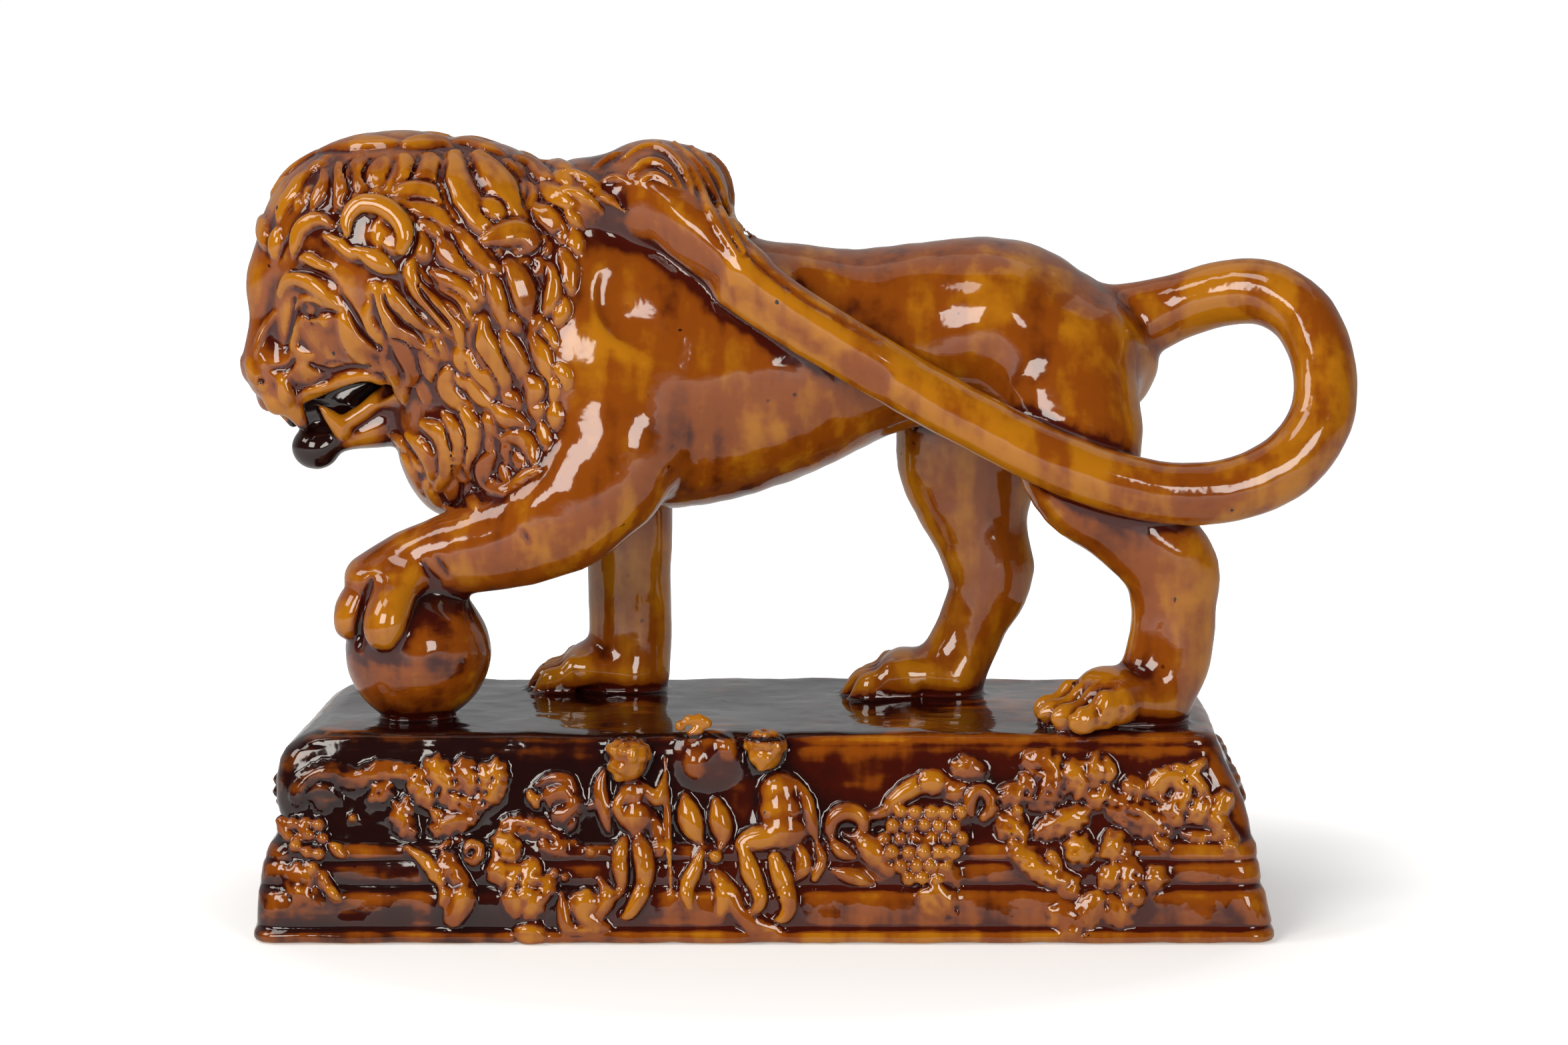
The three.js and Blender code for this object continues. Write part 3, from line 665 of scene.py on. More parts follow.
def toes(lion, middle, heading, spread=4.2, length=8, thick=2.8):
    """Four toes and their claws across a paw that points along heading, from -X to the viewer."""
    turn = math.radians(heading)
    forward = np.array([-math.cos(turn), -math.sin(turn), 0])
    sideways = np.array([math.sin(turn), -math.cos(turn), 0])
    for place in (-1.5, -0.5, 0.5, 1.5):
        reach = length - abs(place) * 1.5

        def at(along, up):
            return np.array(middle) + forward * along + sideways * place * spread + [0, 0, up]

        root = [*at(-reach * 0.6, 1.8), spread * 0.44, thick]
        tip = [*at(reach * 0.5, -0.2), spread * 0.4, thick * 0.8]
        lion.limb([root, tip], across=sideways, softness=0.6, step=1.5)
        lion.lump(at(0, 1.5), [spread * 0.56, spread * 0.48, thick * 1.06], softness=0.8)
        lion.lump(at(reach * 0.6, -0.4), [spread * 0.66, spread * 0.46, thick * 0.86], softness=0.8)
        claw = [[*at(reach * 0.8, 0.2), 1.1, 1.2], [*at(reach * 1.1, -1.6), 0.5, 0.6]]
        lion.limb(claw, across=sideways, softness=0.3, step=1.5)


BALL_AT = (-59.4, -11.8)  # in the figure's hundredths


def model_raised_leg(lion):
    """The left foreleg, with its paw over the ball."""
    middle_x, middle_y = BALL_AT
    radius = lion.ball / lion.share
    centre_z = radius - 0.7
    lion.lump([middle_x, middle_y, centre_z], [radius] * 3, softness=1.2)
    top = centre_z + radius
    aside = middle_y - 0.8
    arm = [
        [-26, -9, 60, 10, 14],
        [-26, -13.5, 47, 9.4, 12.6],
        [-32, -16, 38, 8, 10.8],
        [-42, -15.5, 31.6, 6.8, 8.7],
        [-52, -14, 28.6, 6.2, 7.3],
        [middle_x - 1.6, aside, top + 3.3, 6.4, 5.4],
        [middle_x - 8.4, aside, top + 0.4, 7.2, 4.4],
    ]
    lion.limb(arm, softness=6)
    lion.lump([middle_x - 3.4, middle_y - 1, top + 0.4], [6.8, 9, 4.6], softness=3)
    # Each toe lies down the ball's side, at its own bearing round it from -X towards the viewer
    hold = radius + 1.3
    for bearing, length in ((66, 1.0), (22, 0.94), (-20, 1.0), (-62, 1.0)):
        c, s = cos_sin(bearing)
        bones = [[middle_x - 2.6 * c, middle_y - 1 - 4.4 * s, top + 2, 3.6, 3.2]]
        for slope, wide, thick in ((58, 4, 3.5), (42, 4.2, 3.7), (28, 4, 3.4), (18, 3, 2.4)):
            slope = math.radians(90 - (90 - slope) * length)
            out = hold * math.cos(slope)
            up = centre_z + hold * math.sin(slope)
            bones.append([middle_x - out * c, middle_y - out * s, up, wide, thick])
        lion.limb(bones, across=(s, -c, 0), softness=1.8, step=1.5)


def model_tail(lion):
    """The tail loops out behind, crosses the left flank and lies over the withers in a tuft."""
    lion.limb(np.array([[x, y, z, r * 0.9, r] for x, y, z, r in TAIL]), softness=2.2, step=3)
    lion.lump([-19, -3, 88.2], [11.8, 12.4, 10.4], softness=4)
    lion.lump([-31, -3, 88], [8, 12, 7.4], softness=6)
    lion.lump([-13, -3, 88.4], [7, 11, 8.6], softness=3)
    over_withers = [[-4, -17.4, 77, 5], [-11, -15, 83, 5.6], [-19, -11, 88.4, 5.4], [-27, -7, 90, 4]]
    lion.limb(over_withers, softness=3)


# Strands of the tail's tuft on the tuft view: [u, v, half-width]
TUFT_STRANDS = [
    [[1300, 122, 22], [1394, 228, 30], [1448, 336, 30], [1492, 466, 28], [1564, 570, 18]],
    [[1222, 106, 22], [1330, 206, 28], [1394, 314, 28], [1448, 442, 28], [1522, 570, 22], [1600, 680, 14]],
    [[1136, 100, 20], [1244, 164, 28], [1320, 262, 28], [1372, 378, 28], [1436, 506, 28], [1532, 656, 20]],
    [[986, 184, 20], [1072, 130, 28], [1158, 130, 30], [1234, 184, 28], [1286, 270, 26], [1318, 366, 16]],
    [[1008, 250, 16], [1094, 196, 24], [1168, 206, 26], [1222, 260, 24], [1266, 334, 16]],
    [[1050, 302, 14], [1116, 260, 20], [1180, 280, 22], [1234, 334, 14]],
    [[850, 230, 18], [920, 184, 26], [990, 150, 18]],
    [[876, 296, 16], [950, 270, 24], [1008, 292, 14]],
    [[800, 300, 16], [880, 352, 24], [960, 400, 20], [1020, 450, 12]],
    [[690, 236, 18], [770, 256, 28], [850, 300, 22], [900, 350, 12]],
    [[700, 320, 16], [780, 344, 26], [850, 396, 22], [900, 450, 12]],
    [[1380, 118, 18], [1450, 220, 26], [1500, 330, 26], [1540, 450, 24], [1610, 560, 14]],
]


# Strands down the tuft's far side, in the figure's hundredths
TUFT_BACK = [[[-24, 6, 93], [-14, 9, 91], [-9, 10, 84]], [[-27, 10, 88], [-18, 13.4, 86], [-12, 12.6, 80]]]
# The flat facet along the tail's upper side on the tuft view, and the thin groove beside it
TAIL_FACET = [[1000, 360], [1100, 450], [1210, 550], [1445, 775], [1700, 935], [1931, 1094], [2200, 1240]]
TAIL_GROOVE = [[1420, 480], [1560, 620], [1700, 745], [1900, 880], [2200, 1050]]


def model_tuft(lion):
    """Strands that sweep over the tuft and run out along the tail."""
    lion.settle()
    lion.facet(TUFT_VIEW, TAIL_FACET, 9.0, 1.5)
    lion.groove(TUFT_VIEW, TAIL_GROOVE, 0.8, 0.6, softness=1.0, lift=0.4)
    for strand in TUFT_STRANDS:
        lion.stroke(TUFT_VIEW, strand, rise=1.7, margin=0.5, strands=4, strand_depth=0.3, softness=0.4)
    for strand in TUFT_BACK:
        line = lion.figure(resample(rows(*strand), 1))
        points, normals = lion.press(line)
        wide = np.linspace(3.4, 1.6, len(points))
        rise = np.full(len(points), 1.4)
        lion.ribbon(points, normals, wide, wide * 0.7, rise, strands=4, strand_depth=0.3)


def on_side(side, stations):
    """Stations [forward, left, up, width] of the head, or their mirror image where side is -1."""
    return [[forward, side * left, up, wide] for forward, left, up, wide in stations]


def model_head_and_neck(lion):
    """Skull, jaws and the mass of the mane, without its locks."""
    lion.lump([-62.4, 0, 75.4], [24.6, 19.5, 24.6], softness=6)
    lion.lump([-73.4, 0, 81.4], [12.8, 14, 14.2], softness=5)
    lion.lump([-47.4, 0, 70.4], [17, 20, 27.4], softness=8)
    lion.lump([-34, 0, 75], [14, 16, 17], softness=8)
    lion.lump([-53.4, 0, 49], [10.4, 16, 16], softness=6)
    lion.lump([-42, 0, 50], [13, 18, 18], softness=8)
    lion.head_lump([-1, 0, 0], [14, 13, 15], softness=5)
    lion.head_lump([7.6, 0, 1], [8.8, 8.6, 13], softness=4)
    # Bridge of the nose, and muzzle
    bridge = [[12.4, 0, 13, 6, 4.4], [15.6, 0, 7, 4.4, 4], [15.8, 0, 0, 3.4, 3.4], [17.4, 0, -6.6, 4.2, 3]]
    lion.head_limb(bridge, softness=3)
    lion.head_limb([[4, 0, -5, 9.4, 6.6], [11, 0, -7.6, 7.6, 5.4], [15.4, 0, -9.8, 5, 4.2]], softness=4)
    # The mouth is pressed in from either side and stops at a web of clay in the middle
    for side in (1, -1):
        mouth = [[-3.4, -10.8, 1.4], [3, -12.8, 3.3], [9.4, -15.8, 3.6], [18, -17, 3]]
        lion.head_limb([[f, side * 8, up, 6.4, high] for f, up, high in mouth], softness=1.2, cut=True)
    lion.head_limb([[-2, 0, -13, 2.4, 5], [4, 0, -15, 2.2, 5], [9.6, 0, -17, 1.8, 4]], softness=1.5)
    back_of_jaw = [[-12, 0, -15, 10.2, 6.8], [-4, 0, -18, 8.6, 4.9]]
    front_of_jaw = [[2, 0, -20.2, 6.4, 2.9], [6.6, 0, -21.4, 3.8, 2.8]]
    lion.head_limb(back_of_jaw + front_of_jaw, softness=3)
    lion.head_lump([7.8, 0, -22.4], [4.2, 4.4, 3.9], softness=1.6)
    for side in (1, -1):
        # Jaw's raised edge, with the lower fang at its front
        edge = [[-9, 8.2, -12.4, 1.7], [-3, 7.2, -13, 1.6], [1.4, 6.2, -16.2, 1.5], [4.6, 5.2, -18.2, 1.5]]
        lion.head_limb(on_side(side, edge), softness=1.2)
        fang = [[4.4, 5, -19, 1.8], [6.2, 5, -17, 1.3], [8.4, 4.9, -14.8, 0.4]]
        lion.head_limb(on_side(side, fang), softness=0.6)
        # Upper lip, and the fang that hangs from it
        lip = [[-5, 9.2, -9.6, 1.4], [2, 8.4, -8.4, 1.6], [8, 6.6, -11, 1.6], [13.6, 3.6, -13.6, 1.6]]
        lion.head_limb(on_side(side, lip), softness=1.2)
        fang = [[14, 3.6, -11.6, 2], [12.8, 3.8, -15, 1.8], [10.8, 3.8, -18.4, 1]]
        lion.head_limb(on_side(side, fang), softness=1)
        lion.head_lump([15.2, side * 2.6, -13.4], [2.4, 2.4, 3], softness=2.4)


# Folds of the near side of the face on the head view: rise, softness, spots [u, v, half-width]
FACE_FOLDS = [
    (2.2, 0.9, [[362, 465, 14], [427, 498, 24], [474, 545, 22], [512, 560, 12]]),
    (2.2, 1.2, [[268, 562, 14], [304, 560, 24], [344, 585, 22], [402, 605, 12]]),
    (2.4, 1.6, [
        [186, 712, 16], [216, 656, 28], [262, 636, 34], [320, 664, 32], [380, 716, 24], [426, 760, 14],
    ]),
    (1.8, 1.0, [[258, 820, 16], [246, 880, 22], [250, 920, 24], [280, 945, 22], [334, 956, 14]]),
    (1.4, 1.2, [[172, 780, 10], [136, 832, 16], [106, 890, 16], [88, 952, 10]]),
    (1.4, 1.6, [[60, 972, 20], [80, 1040, 32], [124, 1074, 24]]),
    (1.8, 1.6, [[196, 1052, 24], [216, 1110, 28], [232, 1150, 22]]),
    (1.8, 0.9, [[285, 1108, 16], [380, 1080, 24], [470, 1048, 24], [560, 1040, 22], [626, 1086, 14]]),
    (1.6, 1.6, [[440, 800, 20], [470, 880, 34], [520, 960, 34], [590, 1010, 18]]),
]
# Grooves of the face: width, depth, spots
FACE_GROOVES = [
    (1.5, 1.6, [[240, 724], [252, 762], [268, 806]]),
    (1.0, 1.2, [[348, 774], [384, 782], [420, 776]]),
    (1.0, 1.0, [[150, 1010], [220, 1010], [250, 970]]),
    (0.9, 0.8, [[232, 618], [300, 610], [380, 640], [440, 690]]),
    (0.9, 0.8, [[250, 427], [232, 463], [203, 518], [190, 570]]),
    (0.8, 0.7, [[350, 1010], [400, 980], [450, 990]]),
    (1.4, 1.4, [[252, 720], [240, 790], [230, 860], [214, 930]]),
    (1.4, 1.2, [[430, 700], [476, 770], [530, 860], [600, 930]]),
    (1.2, 1.2, [[310, 985], [380, 1022], [470, 1006], [560, 992]]),
]


def model_face(lion):
    """Brows, eyes, nose, muzzle and lips."""
    lion.dab(HEAD_VIEW, [306, 780], 4.4, 2.2, both="head", cut=True, softness=2)
    lion.dab(HEAD_VIEW, [290, 1015], 6.4, 1.7, both="head", softness=2)
    lion.dab(HEAD_VIEW, [520, 880], 8, 1.1, both="head", softness=4)
    for rise, softness, fold in FACE_FOLDS:
        lion.stroke(HEAD_VIEW, fold, rise=rise, both="head", softness=softness)
    for width, depth, fold in FACE_GROOVES:
        lion.groove(HEAD_VIEW, fold, width, depth, both="head")
    lion.dab(HEAD_VIEW, [304, 766], 3, -0.2, both="head", softness=0.4)
    for rise, lid in (
        (0.9, [[248, 780, 8], [266, 738, 13], [306, 722, 15], [356, 736, 15], [420, 768, 10]]),
        (0.5, [[266, 800, 8], [300, 815, 11], [346, 810, 11], [396, 788, 8]]),
    ):
        lion.stroke(HEAD_VIEW, lid, rise=rise, both="head", softness=0.5)
    lion.dab(HEAD_VIEW, [294, 764], 0.9, 1.2, both="head", cut=True, softness=0.3)
    lion.dab(HEAD_VIEW, [373, 820], 2.3, 1.2, both="head", softness=0.8)
    lion.dab(HEAD_VIEW, [112, 1062], 1.1, 1.2, both="head", cut=True, softness=0.6)
    for spot in ([240, 1000], [270, 1030], [236, 1050], [300, 1000], [330, 1030], [290, 1060]):
        lion.dab(HEAD_VIEW, spot, 0.5, 0.6, both="head", cut=True, softness=0.3)


# Locks of the mane on the head view, the near side's: [u, v, half-width]
MANE_LOCKS = [
    (1.8, [[152, 306, 20], [204, 216, 32], [284, 146, 34], [370, 112, 30]]),
    (2.0, [[350, 130, 26], [440, 104, 36], [560, 92, 40], [660, 96, 34]]),
    (2.2, [[690, 104, 30], [760, 92, 38], [850, 92, 34], [880, 116, 18]]),
    (1.8, [[880, 96, 24], [960, 92, 34], [1040, 118, 30], [1110, 146, 18]]),
    (2.2, [[186, 410, 20], [203, 348, 30], [235, 305, 32], [268, 253, 32], [312, 206, 22]]),
    (2.4, [[322, 368, 16], [348, 311, 26], [378, 256, 26], [366, 200, 18]]),
    (2.4, [[434, 176, 24], [440, 235, 30], [444, 295, 28], [420, 350, 20]]),
    (2.4, [[246, 560, 14], [253, 515, 22], [268, 446, 26], [318, 410, 26], [366, 404, 24], [404, 436, 14]]),
    (2.2, [[112, 400, 26], [124, 460, 32], [150, 520, 24]]),
    (2.0, [[182, 440, 20], [170, 500, 28], [170, 560, 18]]),
    (1.5, [[520, 140, 26], [500, 210, 44], [520, 290, 30]]),
    (1.2, [[610, 150, 34], [590, 214, 50], [590, 270, 30]]),
    (1.6, [[690, 138, 30], [710, 200, 46], [670, 262, 40], [610, 300, 20]]),
    (1.7, [[790, 140, 44], [810, 200, 60], [770, 262, 48], [700, 286, 18]]),
    (2.0, [[640, 308, 18], [700, 284, 30], [780, 292, 36], [850, 342, 34], [894, 404, 18]]),
    (1.9, [[700, 350, 22], [760, 362, 30], [830, 394, 30], [892, 442, 16]]),
    (1.8, [[730, 422, 18], [790, 442, 26], [850, 474, 16]]),
    (2.0, [[754, 446, 18], [764, 512, 32], [782, 564, 26]]),
    (2.1, [[838, 474, 20], [862, 532, 38], [930, 586, 42], [1002, 624, 22]]),
    (2.0, [[908, 444, 22], [970, 522, 38], [1040, 592, 34], [1076, 646, 18]]),
    (2.8, [[900, 134, 36], [898, 230, 52], [940, 330, 58], [1000, 412, 46], [1052, 476, 22]]),
    (2.6, [[990, 134, 40], [1040, 200, 54], [1090, 282, 62], [1142, 352, 52], [1184, 408, 22]]),
    (2.4, [[1008, 330, 26], [1050, 362, 36], [1092, 404, 26]]),
    (2.9, [[1005, 494, 22], [1080, 470, 38], [1160, 458, 42], [1208, 500, 34], [1216, 564, 16]]),
    (2.2, [[1140, 154, 24], [1200, 174, 36], [1250, 222, 36], [1292, 264, 18]]),
    (1.8, [[1210, 128, 20], [1290, 166, 32], [1370, 206, 22]]),
    (2.0, [[1182, 244, 18], [1202, 302, 32], [1182, 364, 22]]),
    (2.0, [[1250, 262, 22], [1310, 312, 34], [1372, 346, 22]]),
    (2.4, [[1215, 352, 26], [1270, 392, 42], [1322, 452, 30], [1336, 506, 14]]),
    (2.6, [[1112, 574, 34], [1144, 652, 56], [1180, 740, 50], [1202, 804, 22]]),
    (2.0, [[1238, 564, 20], [1290, 642, 32], [1290, 722, 28], [1262, 794, 16]]),
    (1.6, [[1332, 524, 18], [1362, 604, 28], [1370, 704, 20]]),
    (2.0, [[1030, 624, 20], [1062, 692, 30], [1080, 762, 26], [1102, 844, 18]]),
    (2.8, [
        [574, 654, 28], [588, 732, 46], [660, 830, 52], [740, 892, 46], [800, 962, 34], [814, 1026, 14],
    ]),
    (3.2, [[622, 652, 18], [652, 732, 30], [720, 802, 32], [792, 854, 18]]),
    (2.8, [[716, 562, 24], [736, 652, 40], [800, 742, 48], [870, 804, 44], [922, 884, 24], [926, 936, 12]]),
    (2.2, [[800, 612, 18], [870, 652, 30], [940, 704, 30], [992, 766, 18]]),
    (2.2, [[820, 682, 14], [880, 722, 24], [932, 774, 26], [968, 856, 14]]),
    (1.6, [[560, 704, 14], [558, 800, 24], [592, 884, 24], [620, 946, 14]]),
    (2.4, [[640, 882, 20], [690, 932, 34], [730, 994, 36], [716, 1074, 22]]),
    (1.8, [[604, 954, 14], [640, 1014, 24], [662, 1084, 14]]),
    (2.2, [[752, 926, 16], [800, 1012, 28], [840, 1086, 18]]),
    (2.6, [[1006, 804, 30], [1000, 882, 44], [1050, 962, 44], [1100, 1042, 34], [1112, 1106, 14]]),
    (2.2, [[960, 904, 14], [980, 982, 26], [1030, 1062, 28], [1062, 1136, 14]]),
    (2.2, [[1090, 854, 20], [1130, 932, 32], [1170, 1012, 30], [1172, 1086, 16]]),
    (1.8, [[1210, 864, 20], [1250, 952, 32], [1282, 1052, 22]]),
    (2.2, [[880, 1002, 20], [860, 1062, 32], [900, 1132, 32], [982, 1174, 18]]),
    (2.0, [[950, 1044, 18], [990, 1112, 26], [1052, 1164, 20]]),
    (2.0, [[1182, 1034, 22], [1228, 1092, 34], [1200, 1154, 22]]),
    (2.4, [[1050, 1154, 18], [1116, 1212, 34], [1202, 1244, 18]]),
    (2.6, [[760, 1228, 22], [846, 1272, 36], [880, 1352, 38], [850, 1432, 36], [824, 1514, 20]]),
    (2.2, [[700, 1272, 16], [770, 1334, 30], [806, 1404, 28], [800, 1476, 14]]),
    (1.8, [[640, 1304, 12], [710, 1354, 20], [770, 1424, 18]]),
    (2.6, [[920, 1154, 20], [970, 1242, 34], [960, 1342, 36], [985, 1442, 30], [1022, 1496, 16]]),
    (2.0, [[850, 1184, 16], [900, 1254, 26], [915, 1342, 22], [902, 1444, 14]]),
    (2.6, [[1062, 1344, 22], [1020, 1402, 34], [1040, 1474, 32], [1112, 1516, 20]]),
    (2.4, [[1082, 1294, 18], [1150, 1282, 28], [1212, 1332, 28], [1222, 1406, 14]]),
    (1.6, [[1110, 1506, 14], [1180, 1444, 20], [1248, 1418, 12]]),
    (2.2, [[668, 1316, 16], [712, 1380, 26], [744, 1450, 26], [780, 1530, 14]]),
    (2.0, [[640, 1270, 12], [664, 1290, 20], [690, 1310, 22], [712, 1350, 12]]),
    (2.0, [[780, 1450, 14], [800, 1500, 24], [840, 1556, 24], [900, 1590, 12]]),
]

# Locks are this much wider than they were read, so that each presses against the next
LOCK_FULLNESS = 1.42
LOCK_STRANDS = {"margin": 0.6, "strands": 6, "strand_depth": 0.35, "softness": 0.3}
# Rim and lobe of the ear, on the head view
EAR_RIM = [
    [472, 476, 20], [470, 404, 34], [522, 350, 40], [600, 352, 42], [668, 404, 42], [700, 474, 40],
    [680, 540, 28],
]
EAR_LOBE = [[486, 520, 18], [560, 558, 38], [620, 596, 36], [668, 618, 14]]
# Grooves between the locks: width, depth, spots of the head view
MANE_GROOVES = [
    (0.9, 1.6, [
        [345, 168], [377, 167], [449, 170], [482, 163], [554, 134], [660, 130], [760, 128], [870, 112],
    ]),
    (0.9, 1.6, [[474, 170], [480, 230], [478, 300], [453, 337], [445, 362]]),
    (0.8, 1.4, [[380, 199], [402, 224], [405, 253], [395, 290], [384, 326]]),
    (0.8, 1.4, [[326, 217], [290, 253], [286, 290], [275, 344], [261, 391]]),
    (0.9, 1.4, [[348, 373], [380, 377], [415, 395]]),
    (0.8, 1.4, [[507, 308], [568, 311], [630, 326]]),
    (0.8, 1.4, [[668, 150], [665, 210], [645, 270], [630, 300]]),
    (0.9, 1.6, [
        [860, 130], [865, 180], [850, 240], [870, 300], [880, 340], [930, 410], [980, 480], [1030, 545],
    ]),
    (0.9, 1.6, [[1030, 545], [1065, 575], [1130, 550], [1190, 555], [1230, 540], [1280, 490], [1330, 450]]),
    (0.8, 1.4, [[1100, 140], [1150, 190], [1180, 240], [1190, 300], [1175, 350], [1190, 400]]),
    (1.0, 1.6, [[740, 410], [742, 470], [728, 530], [700, 570], [640, 560]]),
    (0.9, 1.4, [[470, 590], [530, 640], [600, 650], [660, 640]]),
    (0.9, 1.4, [[550, 650], [560, 720], [590, 800], [620, 880], [600, 930], [640, 1000]]),
    (0.9, 1.6, [[690, 640], [720, 720], [790, 790], [840, 850], [860, 900], [860, 980]]),
    (0.9, 1.6, [[740, 560], [760, 640], [830, 700], [900, 740], [930, 790], [960, 850], [950, 920]]),
    (0.9, 1.8, [[610, 700], [634, 750], [690, 810], [750, 856], [790, 910]]),
    (0.9, 1.8, [[745, 660], [772, 705], [830, 770], [880, 832], [900, 880]]),
    (0.9, 1.8, [[560, 760], [580, 830], [600, 880]]),
    (0.9, 1.4, [[1095, 590], [1100, 650], [1120, 730], [1150, 790], [1180, 820]]),
    (0.9, 1.4, [[1260, 560], [1265, 640], [1240, 730], [1210, 800]]),
    (0.9, 1.4, [[1000, 800], [975, 880], [980, 960], [1020, 1020]]),
]
# The edge of the mane on the head view, which the filling locks stay inside
MANE_EDGE = [
    [150, 330], [380, 100], [700, 60], [1000, 80], [1200, 140], [1370, 230], [1390, 520],
    [1340, 640], [1320, 900], [1340, 1100], [1290, 1250], [1240, 1400], [1100, 1520], [840, 1540],
    [690, 1310], [830, 1150], [640, 1100], [590, 930], [550, 700], [690, 620], [560, 420],
    [430, 400], [250, 420],
]


def inside_edge(edge, spot):
    """Whether a spot lies inside a closed edge."""
    crossings = 0
    for (u0, v0), (u1, v1) in zip(edge, edge[1:] + edge[:1]):
        if (v0 > spot[1]) != (v1 > spot[1]) and spot[0] < u0 + (spot[1] - v0) / (v1 - v0) * (u1 - u0):
            crossings += 1
    return crossings % 2 == 1


# Locks that fill gaps, in pixels of the head view: how far apart they are tried, how far each may
# stray, the bare width that asks for one, and half a lock's length
FILL_SPACING = 40
FILL_STRAY = 12
FILL_GAP = 18
FILL_REACH = 62
FILL_STEP = 16.0


def filling_locks(locks, edge):
    """Short locks for the bare places between the drawn ones, lying as their neighbours do."""
    spread = np.random.default_rng(11)
    drawn = [resample(rows(*lock), FILL_STEP) for _, lock in locks]
    spots = np.vstack([line[:-1] for line in drawn])
    ways = np.vstack([np.diff(line[:, :2], axis=0) for line in drawn])
    ways /= np.linalg.norm(ways, axis=1, keepdims=True)
    ways[ways[:, 1] < 0] *= -1
    found = []
    for v in range(90, 1540, FILL_SPACING):
        for u in range(130, 1400, FILL_SPACING):
            spot = np.array([u, v]) + spread.uniform(-FILL_STRAY, FILL_STRAY, 2)
            if not inside_edge(edge, spot):
                continue
            gaps = np.linalg.norm(spots[:, :2] - spot, axis=1)
            if (gaps - spots[:, 2] * 0.9).min() < FILL_GAP:
                continue
            near = np.argsort(gaps)[:14]
            way = (ways[near] / (gaps[near, None] + 20) ** 2).sum(0)
            way /= max(np.linalg.norm(way), 1e-6)
            middle = spot + np.array([-way[1], way[0]]) * spread.uniform(-FILL_STRAY, FILL_STRAY)
            upper = [[*(spot - way * FILL_REACH), 14], [*(middle - way * 20), 27]]
            lower = [[*(middle + way * 20), 27], [*(spot + way * FILL_REACH), 12]]
            lock = upper + lower
            line = resample(rows(*lock), FILL_STEP)
            spots = np.vstack([spots, line])
            ways = np.vstack([ways, np.tile(way, (len(line), 1))])
            found.append((1.7, lock))
    return found


# Creases of the raised paw on the paw view: width, depth, spots
PAW_CREASES = [
    (1.3, 1.6, [[222, 590], [196, 680], [176, 780], [176, 850]]),
    (0.8, 1.0, [[420, 520], [440, 560], [486, 600]]),
    (0.6, 0.6, [[806, 400], [818, 420], [832, 452]]),
    (0.6, 0.6, [[470, 500], [500, 540], [520, 580]]),
]


def crease_the_paw(lion):
    """Grooves between the toes and across the wrist."""
    for width, depth, line in PAW_CREASES:
        lion.groove(PAW_VIEW, line, width, depth, softness=1.2, lift=0.2)


def model_mane(lion):
    """Flame-shaped locks over head and throat, each with a groove or two along it."""
    lion.settle()
    for rise, lock in filling_locks(MANE_LOCKS, MANE_EDGE) + MANE_LOCKS:
        fuller = rows(*lock) * [1, 1, LOCK_FULLNESS]
        lion.stroke(HEAD_VIEW, fuller, rise=rise, both="body", flat=0.6, **LOCK_STRANDS)
    lion.dab(HEAD_VIEW, [600, 470], 5.4, 1.6, both="body", softness=1)
    lion.stroke(HEAD_VIEW, EAR_RIM, rise=4.4, taper=0.7, both="body", softness=0.4, margin=0.7)
    lion.stroke(HEAD_VIEW, EAR_LOBE, rise=3.4, both="body", softness=0.4, margin=0.6)
    lion.dab(HEAD_VIEW, [618, 482], 2.2, -1.2, both="body", cut=True, softness=0.5)
    for spot in ([431, 391], [431, 462]):
        lion.dab(HEAD_VIEW, spot, 2, 1.2, both="body", cut=True, softness=0.6)
    for width, depth, line in MANE_GROOVES:
        lion.groove(HEAD_VIEW, line, width, depth * 0.4, both="body", softness=0.5, lift=1.3)
    model_face(lion)
    crease_the_paw(lion)


# Levels of the plinth: height, then how far its faces, left end and right end stand in from the foot
PLINTH_LEVELS = np.array(
    [
        [0, 0.6, 0.6, 0.6],
        [0.9, 0, 0, 0],
        [3.4, 0.3, 0.2, 0.2],
        [4.4, 2.2, 1.2, 1.4],
        [5.4, 1.6, 0.8, 0.6],
        [14.6, 2.4, 1, 2.6],
        [16.2, 4.6, 1.6, 4],
        [18, 4.2, 1.6, 3.6],
        [22.6, 4.8, 2.4, 4.2],
        [23.6, 5.8, 3.2, 5],
        [25, 5.2, 3.2, 4.6],
        [28, 6, 4.4, 5],
        [29.2, 8, 5.6, 6],
        [34.6, 8.8, 7.2, 6.8],
        [40, 9.6, 5.4, 8.4],
        [46, 10.5, 5, 11.2],
        [52, 11.4, 6, 14],
        [55.6, 12, 8, 15.2],
        [57, 13, 9.8, 16],
        [58.6, 12.8, 12, 16.2],
        [60, 14.6, 15.6, 18],
    ]
)
DRAWN_HEIGHT = 60.0  # the plinth's height in mm that the levels are drawn for
CORNER = 7.0  # mm: radius of the upright corners
BACK_LEFT_SLUMP = 10.0  # mm that the top has moved in at the back left corner
BEYOND = 1e3  # mm: outside the clay on every side
# How high the waves in the plinth's faces are, in mm
LONG_WAVE = 0.28
SHORT_WAVE = 0.18


